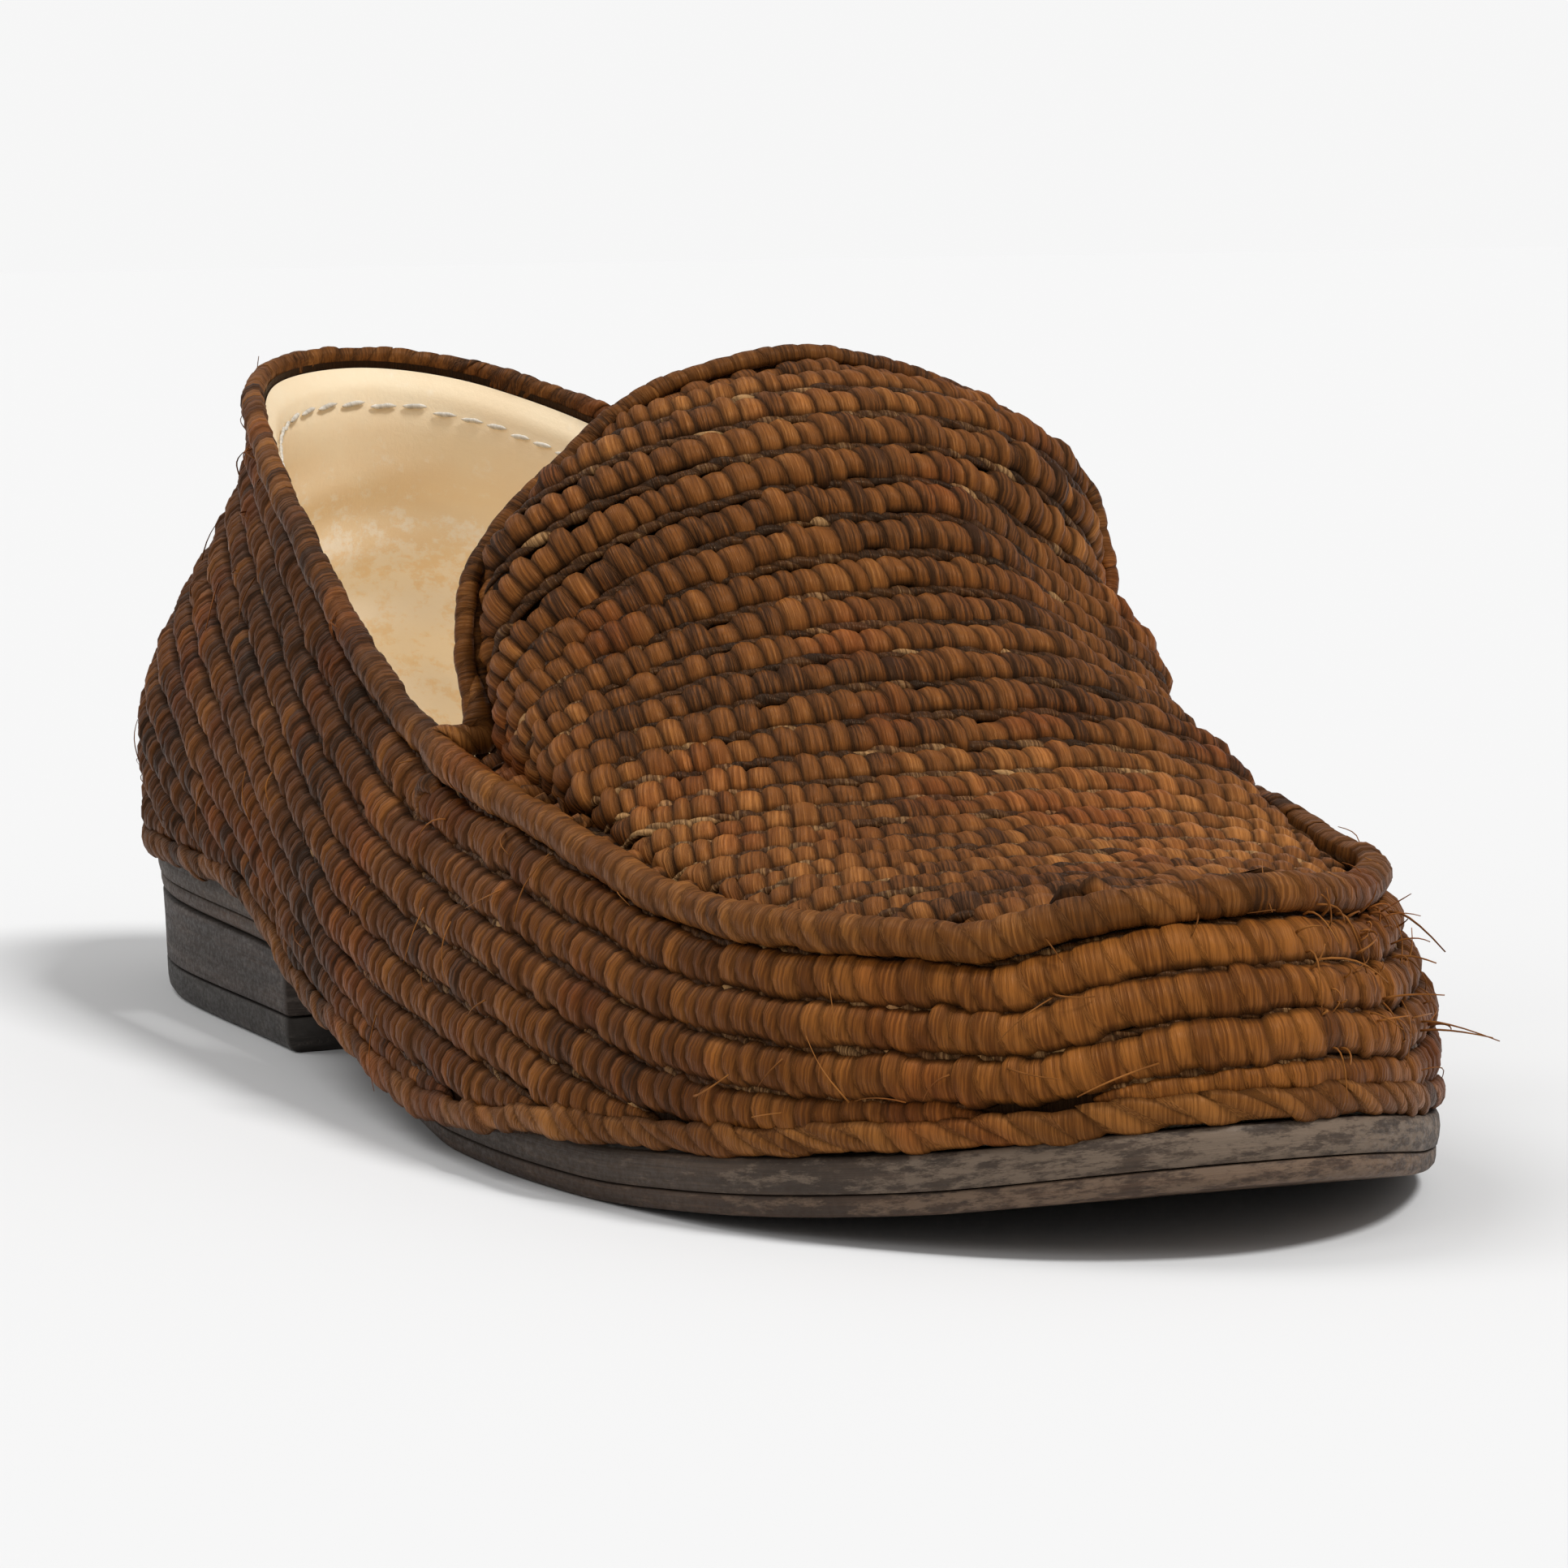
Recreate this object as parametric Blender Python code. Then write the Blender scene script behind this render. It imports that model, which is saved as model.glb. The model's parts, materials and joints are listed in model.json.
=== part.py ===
# Woven raffia loafer with a raised moccasin toe, left shoe
# Toe along +X, the wearer's left along +Y, sole on the floor at Z = 0

import bmesh
import bpy
import numpy as np

MM = 0.001
OBJECT_NAME = "moccasin_toe_loafer"
SIDES = ("medial", "lateral")


def table(names, *rows):
    """Rows of numbers as one array for each named column."""
    return {name: np.array(column, float) for name, column in zip(names.split(), zip(*rows))}


# Driving sizes, in millimetres
LENGTH = 270.0            # heel back to toe tip, along the sole
GAP = 0.3                 # clearance between neighbouring pieces

TOP_PIECE = 4.0           # thickness of the walking layer of the heel
HEEL_STACK = 7.0          # thickness of the stacked layers above it
HEEL_BREAST = 93.5        # front face of the heel, from the heel back
BREAST_HOLLOW = 1.5       # how far the breast curves back in the middle
OUTSOLE = 2.0             # thickness of the outsole
MIDSOLE = 3.4             # thickness of the midsole
INSOLE = 2.0              # thickness of the insole

WALL = 2.0                # thickness of the woven wall between its rows
ROW_HEIGHT = 0.9          # how far a woven row stands out from the wall
SIDE_PITCH = 4.6          # spacing of the rows that run round the side
STRAND = 2.6              # width of the flat strand along the foot of the wall
STRAND_HEIGHT = 0.55      # how far that strand stands out from the wall
LAST_ROW = 0.9            # least room for another half row above the strand
UPPER_INSET = 1.2         # foot of the wall in from the edge of the sole
COLLAR_CORD = 1.9         # radius of the cord on the collar
SEAM_CORD = 2.0           # radius of the same cord on the toe seam
CORD_GROWTH = 0.12        # half turns past the throat in which the cord grows to the seam's
FIRST_ROW = 2.25          # top of the first row, down from the middle of the cord
LINING_TOP = 4.0          # top of the wall's inner face, down from the middle of the cord
SEAM_STEP = 4           # foot of the vamp in from the middle of the cord
THROAT = 152.0            # where the collar meets the tongue, from the heel back
TONGUE_FOOT = 153.4       # where the edge of the tongue meets the seam
VAMP_START = 155.0        # where the first row of the vamp meets the seam
VAMP_ROWS = 25            # rows across the vamp and tongue
OUTER_START = 1.5         # first row of the outer face below the tongue's edge
INNER_START = 2           # the same on the inner face
ROW_SPREAD = 0.66         # crowding of the tongue's rows toward the throat, 1 is even
ROW_TRIM = 2.6            # where a row of the vamp starts, in from its end
VAMP_BOW = 16.0           # how far a row at the throat runs forward to its middle
LATERAL_LEAD = 18.0       # how far its lateral end runs ahead of the medial one, halfway to the toe
HANG_RISE = 6.0           # rise of a row that hangs out one millimetre, four at twice the rise
STEEP_ROW = 30.0          # rise of a row that leans straight forward from its end
ARCH = 2.3                # squareness of the vamp's arch, 1 is straight and 2 an ellipse
TOP_ARCH = 1.5           # the same at the top of the tongue
EDGE_CORD = 1.3           # radius of the double cord round the tongue
EDGE_LIP = 0.78           # height of its outer corner
EDGE_START = 3.25         # first station of that cord, up from the throat

HEEL_LEAN = (0.25, 0.9)   # parts of the wall's height between which the heel leans in
TOE_LEAN = 2.2            # how late the toe's wall leans in, 1 is a straight line
LEAN_CHANGE = (70, 160)   # where the heel's lean gives way to the toe's, from the heel back
SWELL_PEAK = 0.8          # below 1 the swell of the side peaks lower than half its height
HANG_PEAK = 1.2           # above 1 the vamp's sides hang out lower than half their rise
LIP = 1.2                 # thickness of the wall where it hangs over the edge of the sole
HANG_TOP = 0.45           # part of the wall's height up to which it gives way to that
INNER_SHARE = 0.5         # share of the spread that the inside of the wall follows
INSOLE_ROOM = 0.4         # room beyond the gap between the insole and the wall

# Edge of the sole seen from above
SOLE_EDGE = table(
    "along medial lateral",
    (0, 0, 0),
    (12, -24, 19),
    (45, -33.4, 29.5),
    (95, -35.5, 31),
    (140, -40.5, 40),
    (185, -43, 45),
    (225, -38, 41),
    (255, -22.5, 26),
    (LENGTH, 2, 2),
)
# Underside of the outsole: heel seat, arch, flat tread and toe spring
SOLE_LOW = table(
    "along height",
    (0, 13.6),
    (47, 12.6),
    (94, 11.6),
    (115, 8),
    (140, 4.6),
    (160, 1.2),
    (173, 0),
    (206, 0),
    (228, 1.2),
    (250, 3.4),
    (LENGTH, 7.2),
)
# Middle of the cord: collar from the heel to the throat, then the toe seam
TOP_LINE = table(
    "along medial lateral medial_height lateral_height",
    (12, 2, 2, 78, 78),
    (23, -13.5, 18.5, 76, 75),
    (50, -22.2, 28, 69.6, 67.5),
    (85, -28.7, 30.5, 59.6, 56.5),
    (120, -32.5, 33, 46.8, 45),
    (150, -34, 37, 38.4, 36.5),
    (185, -36, 39.5, 34.6, 34.3),
    (225, -32.5, 33.8, 28.8, 30.5),
    (252, -20, 19.5, 28.4, 30.5),
    (262, 2, 2, 32.2, 32.2),
)
# How far the side of the upper swells past the line from foot to cord
SIDE_SWELL = table(
    "along swell",
    (0, 1.5),
    (45, 2.5),
    (100, 4.0),
    (150, 2.5),
    (200, 1.0),
    (LENGTH, 0.4),
)
# How the foot of the inner side spreads over the edge of the sole, as a share, and then hangs below it
HANG = table(
    "along spread drop",
    (20, 0, 0),
    (40, 1, 0),
    (75, 1, 0),
    (88, 1, 0.6),
    (98, 1, 2.8),
    (112, 1, 4.2),
    (130, 1, 3.8),
    (160, 1, 3),
    (185, 1, 2),
    (203, 1, 0),
    (225, 0, 0),
)
# Middle line of the vamp from the top of the tongue to the toe seam
RIDGE = table(
    "along height across",
    (146, 79.3, 8.5),
    (155, 77, 8.5),
    (163, 72, 8.5),
    (172, 63.5, 8),
    (180, 55.5, 7),
    (190, 49, 5.5),
    (203, 40.5, 4),
    (212, 37, 3.3),
    (224, 34.3, 2.6),
    (238, 32.8, 2),
    (262, 32.2, 2),
)
# How far out the sides of the vamp hang, by where its rows end
VAMP_REACH = table(
    "along medial lateral",
    (THROAT, -32.5, 44),
    (165, -33.5, 42.5),
    (180, -34, 37.5),
    (200, -33, 38.4),
    (215, -30.5, 37),
    (262, 0, 0),
)
# Free edge of the tongue from its top down to the throat
TONGUE = table(
    "height along half_width shift",
    (79.3, 146, 0, 8.5),
    (77, 145, 12.5, 8.5),
    (73, 144, 21.5, 9.5),
    (68, 144, 28.5, 10.5),
    (62, 145, 34.3, 9.3),
    (55, 147.5, 37, 7),
    (49, 150, 36, 5),
    (43, 152.5, 33.2, 2.2),
)

# Edges of the sole's pieces: in from the edge of the sole, up from the underside of the piece
OUTSOLE_EDGE = table("inset lift", (1.0, 0), (0.4, 0.7), (0.6, OUTSOLE))
MIDSOLE_EDGE = table("inset lift", (0.4, 0), (0, MIDSOLE / 2), (0.3, MIDSOLE))
INSOLE_INSET = UPPER_INSET + WALL + GAP + INSOLE_ROOM
INSOLE_EDGE = table("inset lift", (INSOLE_INSET, 0), (INSOLE_INSET, INSOLE))
# The same for the heel, with the share of the rise of the heel seat toward the back
STACK_EDGE = table("inset lift seat", (0.9, 0, 0), (0.6, HEEL_STACK, 1))
TOP_PIECE_EDGE = table("inset lift seat", (1.8, 0, 0), (1.1, 0.8, 0), (0.9, TOP_PIECE, 0))

# Mesh resolution
HEEL_COLUMNS = 20         # columns from the heel back to the throat, on each side
TOE_COLUMNS = 18          # columns from the throat to the toe tip, on each side
HALF_ROWS = 37            # half rows down the tallest wall, more than it has room for
INNER_ROWS = 5            # rows down the inside of the wall
CORD_ANGLES = (-55, -10, 35, 77, 120, 175, 225)  # points round the cord, from outside over the top
SEAM_ANGLES = 5           # how many of them the toe seam has, where the vamp joins it
VAMP_STEPS = 8            # steps from the seam to the middle of the vamp
TONGUE_STATIONS = 26      # steps along the free edge of the tongue
SOLE_STEPS = 36           # steps along the sole
HEEL_STEPS = 13           # steps from the heel back to the breast, on each side
SLOPE_REACH = 0.004       # half turns, or parts of the height, to either side that set a slope
CORD_REACH = 0.03         # part of the wall below the cord that sets which way the cord is up
PART_REACH = 0.1          # parts of half a row to either side that set its slope
SHORT_TRIM = 0.3          # largest part of half a row that ROW_TRIM may take
OUTER_REACH = 0.1         # rows to either side that set the slope of the vamp's outer face
INNER_REACH = 1.5         # the same for its smoother inner face
EDGE_REACH = 2.5          # rows into the vamp that set the slope of the tongue's edge
EDGE_CROWN = 0.7         # how far up its row the tongue's edge looks at the throat

# Look of each piece: colour, roughness
LOOKS = {
    "upper": ((0.14, 0.05, 0.012), 0.55),
    "insole": ((0.80, 0.66, 0.45), 0.60),
    "midsole": ((0.075, 0.060, 0.050), 0.65),
    "outsole": ((0.12, 0.065, 0.040), 0.70),
    "heel_stack": ((0.060, 0.050, 0.044), 0.60),
    "heel_top_piece": ((0.040, 0.036, 0.032), 0.75),
}


# Curves

def smooth(x, xs, ys):
    """Cubic through the points that never overshoots them."""
    x = np.clip(np.asarray(x, float), xs[0], xs[-1])
    step = np.diff(xs)
    slope = np.diff(ys) / step
    grade = np.zeros(len(xs))
    grade[0] = slope[0]
    grade[-1] = slope[-1]
    same = slope[:-1] * slope[1:] > 0
    near, far = slope[:-1][same], slope[1:][same]
    grade[1:-1][same] = 2 * near * far / (near + far)
    i = np.clip(np.searchsorted(xs, x, side="right") - 1, 0, len(xs) - 2)
    t = (x - xs[i]) / step[i]
    start = ys[i] * (1 + 2 * t) * (1 - t) ** 2 + grade[i] * step[i] * t * (1 - t) ** 2
    end = ys[i + 1] * t * t * (3 - 2 * t) + grade[i + 1] * step[i] * t * t * (t - 1)
    return start + end


def unit(vector):
    return vector / np.linalg.norm(vector)


def turn_to_along(turn, back, front):
    """Half turns round a closed outline (0 heel, 1 toe) to distance along it."""
    return back + (front - back) * (1 - np.cos(np.pi * turn)) / 2


def along_to_turn(along, back, front):
    part = np.clip((np.asarray(along, float) - back) / (front - back), 0, 1)
    return np.arccos(1 - 2 * part) / np.pi


def path_lengths(points):
    return np.concatenate([[0], np.cumsum(np.linalg.norm(np.diff(points, axis=0), axis=1))])


# Sole form

SOLE_TURNS = along_to_turn(SOLE_EDGE["along"], 0, LENGTH)


def edge_point(turn, side):
    return np.array([turn_to_along(turn, 0, LENGTH), smooth(turn, SOLE_TURNS, SOLE_EDGE[side])])


def edge_outward(turn, side):
    """Horizontal direction out of the sole's edge."""
    run = edge_point(min(turn + SLOPE_REACH, 1), side) - edge_point(max(turn - SLOPE_REACH, 0), side)
    if turn in (0, 1):
        return np.array([2.0 * turn - 1, 0])
    across = 1 if side == "lateral" else -1
    return unit(across * np.array([-run[1], run[0]]))


def sole_low(along):
    return smooth(along, SOLE_LOW["along"], SOLE_LOW["height"])


def sole_point(turn, side, inset, lift):
    """A point in from the sole's edge and up from its underside."""
    flat = edge_point(turn, side) - inset * edge_outward(turn, side)
    return np.array([flat[0], flat[1], sole_low(flat[0]) + lift])


# Upper form

TOP_BACK, TOP_FRONT = TOP_LINE["along"][0], TOP_LINE["along"][-1]
TOP_TURNS = along_to_turn(TOP_LINE["along"], TOP_BACK, TOP_FRONT)
SOLE_TOP = OUTSOLE + GAP + MIDSOLE
SLOPES = np.linspace(0, 1, 41)


def top_turn(along):
    return float(along_to_turn(along, TOP_BACK, TOP_FRONT))


THROAT_TURN = top_turn(THROAT)


def top_point(turn, side):
    along = turn_to_along(turn, TOP_BACK, TOP_FRONT)
    across = smooth(turn, TOP_TURNS, TOP_LINE[side])
    height = smooth(along, TOP_LINE["along"], TOP_LINE[side + "_height"])
    return np.array([along, across, height])


def wall_point(turn, side, rise):
    """The wall's middle surface, rise 0 at the sole and 1 at the cord."""
    foot = sole_point(turn, side, UPPER_INSET, SOLE_TOP + GAP)
    head = top_point(turn, side)
    heel_lean = np.interp(rise, HEEL_LEAN, (0, 1))
    heel_lean = heel_lean ** 2 * (3 - 2 * heel_lean)
    toe_share = np.interp(foot[0], LEAN_CHANGE, (0, 1))
    lean = heel_lean + (rise ** TOE_LEAN - heel_lean) * toe_share
    swell = smooth(foot[0], SIDE_SWELL["along"], SIDE_SWELL["swell"])
    point = foot + (head - foot) * np.array([lean, lean, rise])
    point[:2] += edge_outward(turn, side) * swell * np.sin(np.pi * rise ** SWELL_PEAK)
    return point


def hang(turn, side, rise):
    """Spread and drop of the wall over the sole's edge, as two vectors."""
    along = edge_point(turn, side)[0]
    share = max(0.0, 1 - rise / HANG_TOP) ** 2 if side == "medial" else 0.0
    out = np.append(edge_outward(turn, side), 0)
    spread = np.interp(along, HANG["along"], HANG["spread"]) * (UPPER_INSET + GAP + LIP)
    drop = np.interp(along, HANG["along"], HANG["drop"])
    return share * spread * out, np.array([0, 0, -share * drop])


def wall_outward(turn, side, rise):
    """Direction square to the wall, out of the shoe."""
    ahead = wall_point(min(turn + SLOPE_REACH, 1), side, rise)
    behind = wall_point(max(turn - SLOPE_REACH, 0), side, rise)
    above = wall_point(turn, side, min(rise + SLOPE_REACH, 1))
    below = wall_point(turn, side, max(rise - SLOPE_REACH, 0))
    run, up = ahead - behind, above - below
    if turn in (0, 1):
        run[[0, 2]] = 0
    square = unit(np.cross(run, up))
    flat = np.append(edge_outward(turn, side), 0)
    return square if square @ flat > 0 else -square


def wall_down(turn, side):
    """Length of the wall below the cord, and the rise at a distance down it."""
    lengths = path_lengths(np.array([wall_point(turn, side, 1 - part) for part in SLOPES]))
    return lengths[-1], lambda distance: float(1 - np.interp(distance, lengths, SLOPES))


def seam_foot(turn, side):
    """Where the vamp starts, inside the cord."""
    head = top_point(turn, side)
    head[:2] -= SEAM_STEP * edge_outward(turn, side)
    return head


def tongue_curve():
    """Points along the tongue's free edge, from the medial throat to the lateral one."""
    sides = []
    for side, across in zip(SIDES, (-1, 1)):
        width = TONGUE["shift"] + across * TONGUE["half_width"]
        points = np.stack([TONGUE["along"], width, TONGUE["height"]], 1)
        sides.append(np.vstack([points, seam_foot(top_turn(TONGUE_FOOT), side)]))
    return np.vstack([sides[0][::-1], sides[1][1:]])


TONGUE_POINTS = tongue_curve()
TONGUE_PATH = path_lengths(TONGUE_POINTS)
TONGUE_TOP = TONGUE_PATH[len(TONGUE_POINTS) // 2]


def tongue_point(distance):
    return np.array([smooth(distance, TONGUE_PATH, TONGUE_POINTS[:, axis]) for axis in range(3)])


RIDGE_SAMPLES = np.linspace(RIDGE["along"][0], RIDGE["along"][-1], 200)


def ridge_height(along):
    return smooth(along, RIDGE["along"], RIDGE["height"])


RIDGE_PATH = path_lengths(np.stack([RIDGE_SAMPLES, ridge_height(RIDGE_SAMPLES)], 1))


def ridge_along(row):
    return float(np.interp(row / VAMP_ROWS * RIDGE_PATH[-1], RIDGE_PATH, RIDGE_SAMPLES))


def row_end_along(row, side):
    """Where a row of the vamp meets the seam: behind its middle, less so toward the toe."""
    along = ridge_along(row)
    forward = max(0.0, (along - VAMP_START - VAMP_BOW) / (TOP_FRONT - VAMP_START - VAMP_BOW))
    end = along - VAMP_BOW * (1 - forward ** 2)
    lead = LATERAL_LEAD if side == "lateral" else 0
    return end + lead * np.sin(np.pi * np.clip((end - VAMP_START) / (TOP_FRONT - VAMP_START), 0, 1))


ROWS_SAMPLED = np.linspace(0, VAMP_ROWS, 400)
ROWS_END = [row_end_along(row, "medial") for row in ROWS_SAMPLED]
THROAT_ROW = float(np.interp(VAMP_START, ROWS_END, ROWS_SAMPLED))


def row_end(row, side):
    if row < THROAT_ROW:
        part = (row / THROAT_ROW) ** ROW_SPREAD
        far = 0 if side == "medial" else TONGUE_PATH[-1]
        return tongue_point(TONGUE_TOP + (far - TONGUE_TOP) * part)
    return seam_foot(top_turn(row_end_along(row, side)), side)


def vamp_point(row, side, part):
    """The vamp's middle surface, part 0 at the end of a row and 1 at its middle."""
    row = np.clip(row, 0, VAMP_ROWS)
    end = row_end(row, side)
    along = ridge_along(row)
    middle = np.array([along, smooth(along, RIDGE["along"], RIDGE["across"]), ridge_height(along)])
    arch = np.interp(row, (0, THROAT_ROW), (TOP_ARCH, ARCH))
    inward = np.cos(part * np.pi / 2) ** (2 / arch)
    upward = np.sin(part * np.pi / 2) ** (2 / arch)
    rise = middle[2] - end[2]
    steep = np.clip(rise / STEEP_ROW, 0, 1)
    forward = 1 - inward ** 2 + (upward - 1 + inward ** 2) * steep
    point = end + (middle - end) * np.array([forward, 1 - inward, upward])
    reach = smooth(row_end_along(row, side), VAMP_REACH["along"], VAMP_REACH[side])
    overhang = np.clip(abs(reach) - abs(end[1]), 0, (rise / HANG_RISE) ** 2)
    overhang *= np.clip(2 * row / THROAT_ROW - 1, 0, 1)
    across = 1 if side == "lateral" else -1
    point[1] += across * overhang * np.sin(np.pi * min(HANG_PEAK * upward, 1)) ** 2
    return point


def vamp_outward(row, side, part, reach):
    """Direction square to the vamp, from points a number of rows to either side."""
    run = vamp_point(row + reach, side, part) - vamp_point(row - reach, side, part)
    in_part, out_part = min(part + PART_REACH, 1), max(part - PART_REACH, 0)
    across = vamp_point(row, side, in_part) - vamp_point(row, side, out_part)
    if part == 1:
        across[[0, 2]] = 0
    square = unit(np.cross(run, across))
    return square if side == "medial" else -square


def row_parts(row, side):
    """Positions along half a row, starting a little way in from its end."""
    parts = np.linspace(0, 1, 60)
    lengths = path_lengths(np.array([vamp_point(row, side, part) for part in parts]))
    start = np.interp(min(ROW_TRIM, SHORT_TRIM * lengths[-1]), lengths, parts)
    return np.linspace(start, 1, VAMP_STEPS + 1)


# Mesh building

class Skin:
    """Vertices and faces of one closed body, in millimetres."""

    def __init__(self):
        self.points = []
        self.faces = []

    def add(self, point):
        self.points.append(np.array(point, float))
        return len(self.points) - 1

    def add_all(self, points):
        return [self.add(point) for point in points]

    def face(self, *corners):
        kept = [corner for i, corner in enumerate(corners) if corner not in corners[:i]]
        if len(kept) > 2:
            self.faces.append(kept)

    def strip(self, first, second):
        """Quads between two lines of as many vertices."""
        for i in range(len(first) - 1):
            self.face(first[i], first[i + 1], second[i + 1], second[i])

    def lace(self, first, second):
        """Triangles between two lines of different counts."""
        ways = []
        for line in (first, second):
            lengths = path_lengths(np.array([self.points[i] for i in line]))
            ways.append(lengths / lengths[-1])
        i = j = 0
        while i < len(first) - 1 or j < len(second) - 1:
            step_first = ways[0][i + 1] if i < len(first) - 1 else 2
            step_second = ways[1][j + 1] if j < len(second) - 1 else 2
            if step_first <= step_second:
                self.face(first[i], first[i + 1], second[j])
                i += 1
            else:
                self.face(first[i], second[j + 1], second[j])
                j += 1


def make_object(name, skin, collection):
    mesh = bpy.data.meshes.new(name)
    mesh.from_pydata([point * MM for point in skin.points], [], skin.faces)
    body = bmesh.new()
    body.from_mesh(mesh)
    bmesh.ops.triangulate(body, faces=body.faces[:])
    bmesh.ops.recalc_face_normals(body, faces=body.faces[:])
    body.to_mesh(mesh)
    body.free()
    mesh.shade_smooth()
    mesh.set_sharp_from_angle(angle=np.radians(50))
    piece = bpy.data.objects.new(name, mesh)
    collection.objects.link(piece)
    colour, roughness = LOOKS[name]
    material = bpy.data.materials.new(name)
    material.use_nodes = True
    shader = material.node_tree.nodes["Principled BSDF"]
    shader.inputs["Base Color"].default_value = (*colour, 1)
    shader.inputs["Roughness"].default_value = roughness
    mesh.materials.append(material)
    return piece


# Sole pieces

def levels(edge, low):
    """Insets and heights of a piece whose underside is at the given height."""
    return list(zip(edge["inset"], edge["lift"] + low))


def slab(turns, edge_levels):
    """Loops round the sole's outline, each level an inset and a lift, closed across."""
    skin = Skin()
    loops = []
    for inset, lift in edge_levels:
        medial = skin.add_all(sole_point(turn, "medial", inset, lift) for turn in turns)
        lateral = []
        for turn, shared in zip(turns, medial):
            on_end = turn in (0, 1)
            lateral.append(shared if on_end else skin.add(sole_point(turn, "lateral", inset, lift)))
        loops.append((medial, lateral))
    for lower, upper in zip(loops, loops[1:]):
        for side in (0, 1):
            skin.strip(lower[side], upper[side])
        skin.face(lower[0][-1], lower[1][-1], upper[1][-1], upper[0][-1])
    for medial, lateral in (loops[0], loops[-1]):
        skin.strip(medial, lateral)
    return skin


def sole_piece(name, edge_levels, collection):
    return make_object(name, slab(np.linspace(0, 1, SOLE_STEPS + 1), edge_levels), collection)


def heel_piece(name, edge, low, collection):
    """A heel layer: the sole's outline back of the breast, flat or up to the heel seat."""
    breast_turn = float(along_to_turn(HEEL_BREAST, 0, LENGTH))
    turns = np.linspace(0, breast_turn, HEEL_STEPS + 1)
    skin = Skin()
    loops = []
    for inset, height, seat in zip(edge["inset"], edge["lift"] + low, edge["seat"]):
        loop = []
        for turn in turns[::-1]:
            loop.append((turn, "medial"))
        for turn in turns[1:]:
            loop.append((turn, "lateral"))
        points = [sole_point(turn, side, inset, 0) for turn, side in loop]
        middle = (points[0] + points[-1]) / 2
        middle[0] -= BREAST_HOLLOW
        for point in points + [middle]:
            point[2] = height + seat * (sole_low(point[0]) - sole_low(HEEL_BREAST))
        loops.append(skin.add_all(points + [middle]))
    for lower, upper in zip(loops, loops[1:]):
        skin.strip(lower + lower[:1], upper + upper[:1])
    for loop in (loops[0], loops[-1]):
        skin.face(*loop)
    return make_object(name, skin, collection)


# Upper

def outer_point(turn, side, rise, height):
    spread, drop = hang(turn, side, rise)
    return wall_point(turn, side, rise) + height * wall_outward(turn, side, rise) + spread + drop


def lip(skin, turn, side, foot):
    """Back of the wall's foot where it hangs over the edge of the sole: two vertices, or the foot twice."""
    spread, drop = hang(turn, side, 0)
    if not spread.any():
        return [foot, foot]
    root = skin.add(wall_point(turn, side, 0) + spread * (UPPER_INSET + GAP) / (UPPER_INSET + GAP + LIP))
    return [skin.add(skin.points[root] + drop) if drop.any() else root, root]


def build_wall(skin, turn, side):
    """One column of the upper: outer rows, cord and inner rows, from the sole up and over."""
    length, rise_at = wall_down(turn, side)
    lowest = length - STRAND
    outer = []
    for step in range(HALF_ROWS):
        distance = FIRST_ROW + step * SIDE_PITCH / 2
        if distance > lowest - LAST_ROW:
            outer += [outer[-1]] * (HALF_ROWS - step)
            break
        outer.append(skin.add(outer_point(turn, side, rise_at(distance), ROW_HEIGHT * (step % 2))))
    for distance, height in ((lowest, 0.0), (lowest + STRAND / 2, STRAND_HEIGHT), (length, 0.0)):
        outer.append(skin.add(outer_point(turn, side, rise_at(distance), height)))
    outer += lip(skin, turn, side, outer[-1])

    head = top_point(turn, side)
    out = wall_outward(turn, side, 1)
    up = unit(wall_point(turn, side, 1) - wall_point(turn, side, 1 - CORD_REACH))
    angles = CORD_ANGLES if turn <= THROAT_TURN else CORD_ANGLES[:SEAM_ANGLES]
    radius = np.interp(turn, (THROAT_TURN, THROAT_TURN + CORD_GROWTH), (COLLAR_CORD, SEAM_CORD))
    cord = []
    for angle in np.radians(angles):
        cord.append(skin.add(head + radius * (np.cos(angle) * out + np.sin(angle) * up)))

    inner = []
    for distance in np.linspace(LINING_TOP, length, INNER_ROWS + 1):
        rise = rise_at(distance)
        point = wall_point(turn, side, rise)
        square = wall_outward(turn, side, rise)
        if distance == length:
            square = np.append(edge_outward(turn, side), 0)
        inner.append(skin.add(point - WALL * square + INNER_SHARE * hang(turn, side, rise)[0]))
    return {"outer": outer, "cord": cord, "inner": inner}


def over_the_collar(column):
    """The last points of a column's cord, from where the vamp joins it to the inner face."""
    return column["cord"][SEAM_ANGLES - 1:] + column["inner"][:1]


def build_vamp(skin, rows, heights, reach):
    """A sheet of rows across the vamp; returns its grid of vertices."""
    grid = []
    for row, height in zip(rows, heights):
        line = []
        for side in SIDES:
            parts = row_parts(row, side)
            if side == "lateral":
                parts = parts[-2::-1]
            for part in parts:
                lift = min(height, 0.0) if part == min(parts) else height
                point = vamp_point(row, side, part) + lift * vamp_outward(row, side, part, reach)
                line.append(skin.add(point))
        grid.append(line)
    for first, second in zip(grid, grid[1:]):
        skin.strip(first, second)
    return grid


def tongue_inward(distance):
    """Direction from the tongue's free edge into the vamp."""
    side = "medial" if distance < TONGUE_TOP else "lateral"
    foot = 0 if side == "medial" else TONGUE_PATH[-1]
    part = (distance - TONGUE_TOP) / (foot - TONGUE_TOP)
    row = THROAT_ROW * part ** (1 / ROW_SPREAD)
    return vamp_point(row + EDGE_REACH, side, 1 - EDGE_CROWN * part) - tongue_point(distance)


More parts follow.
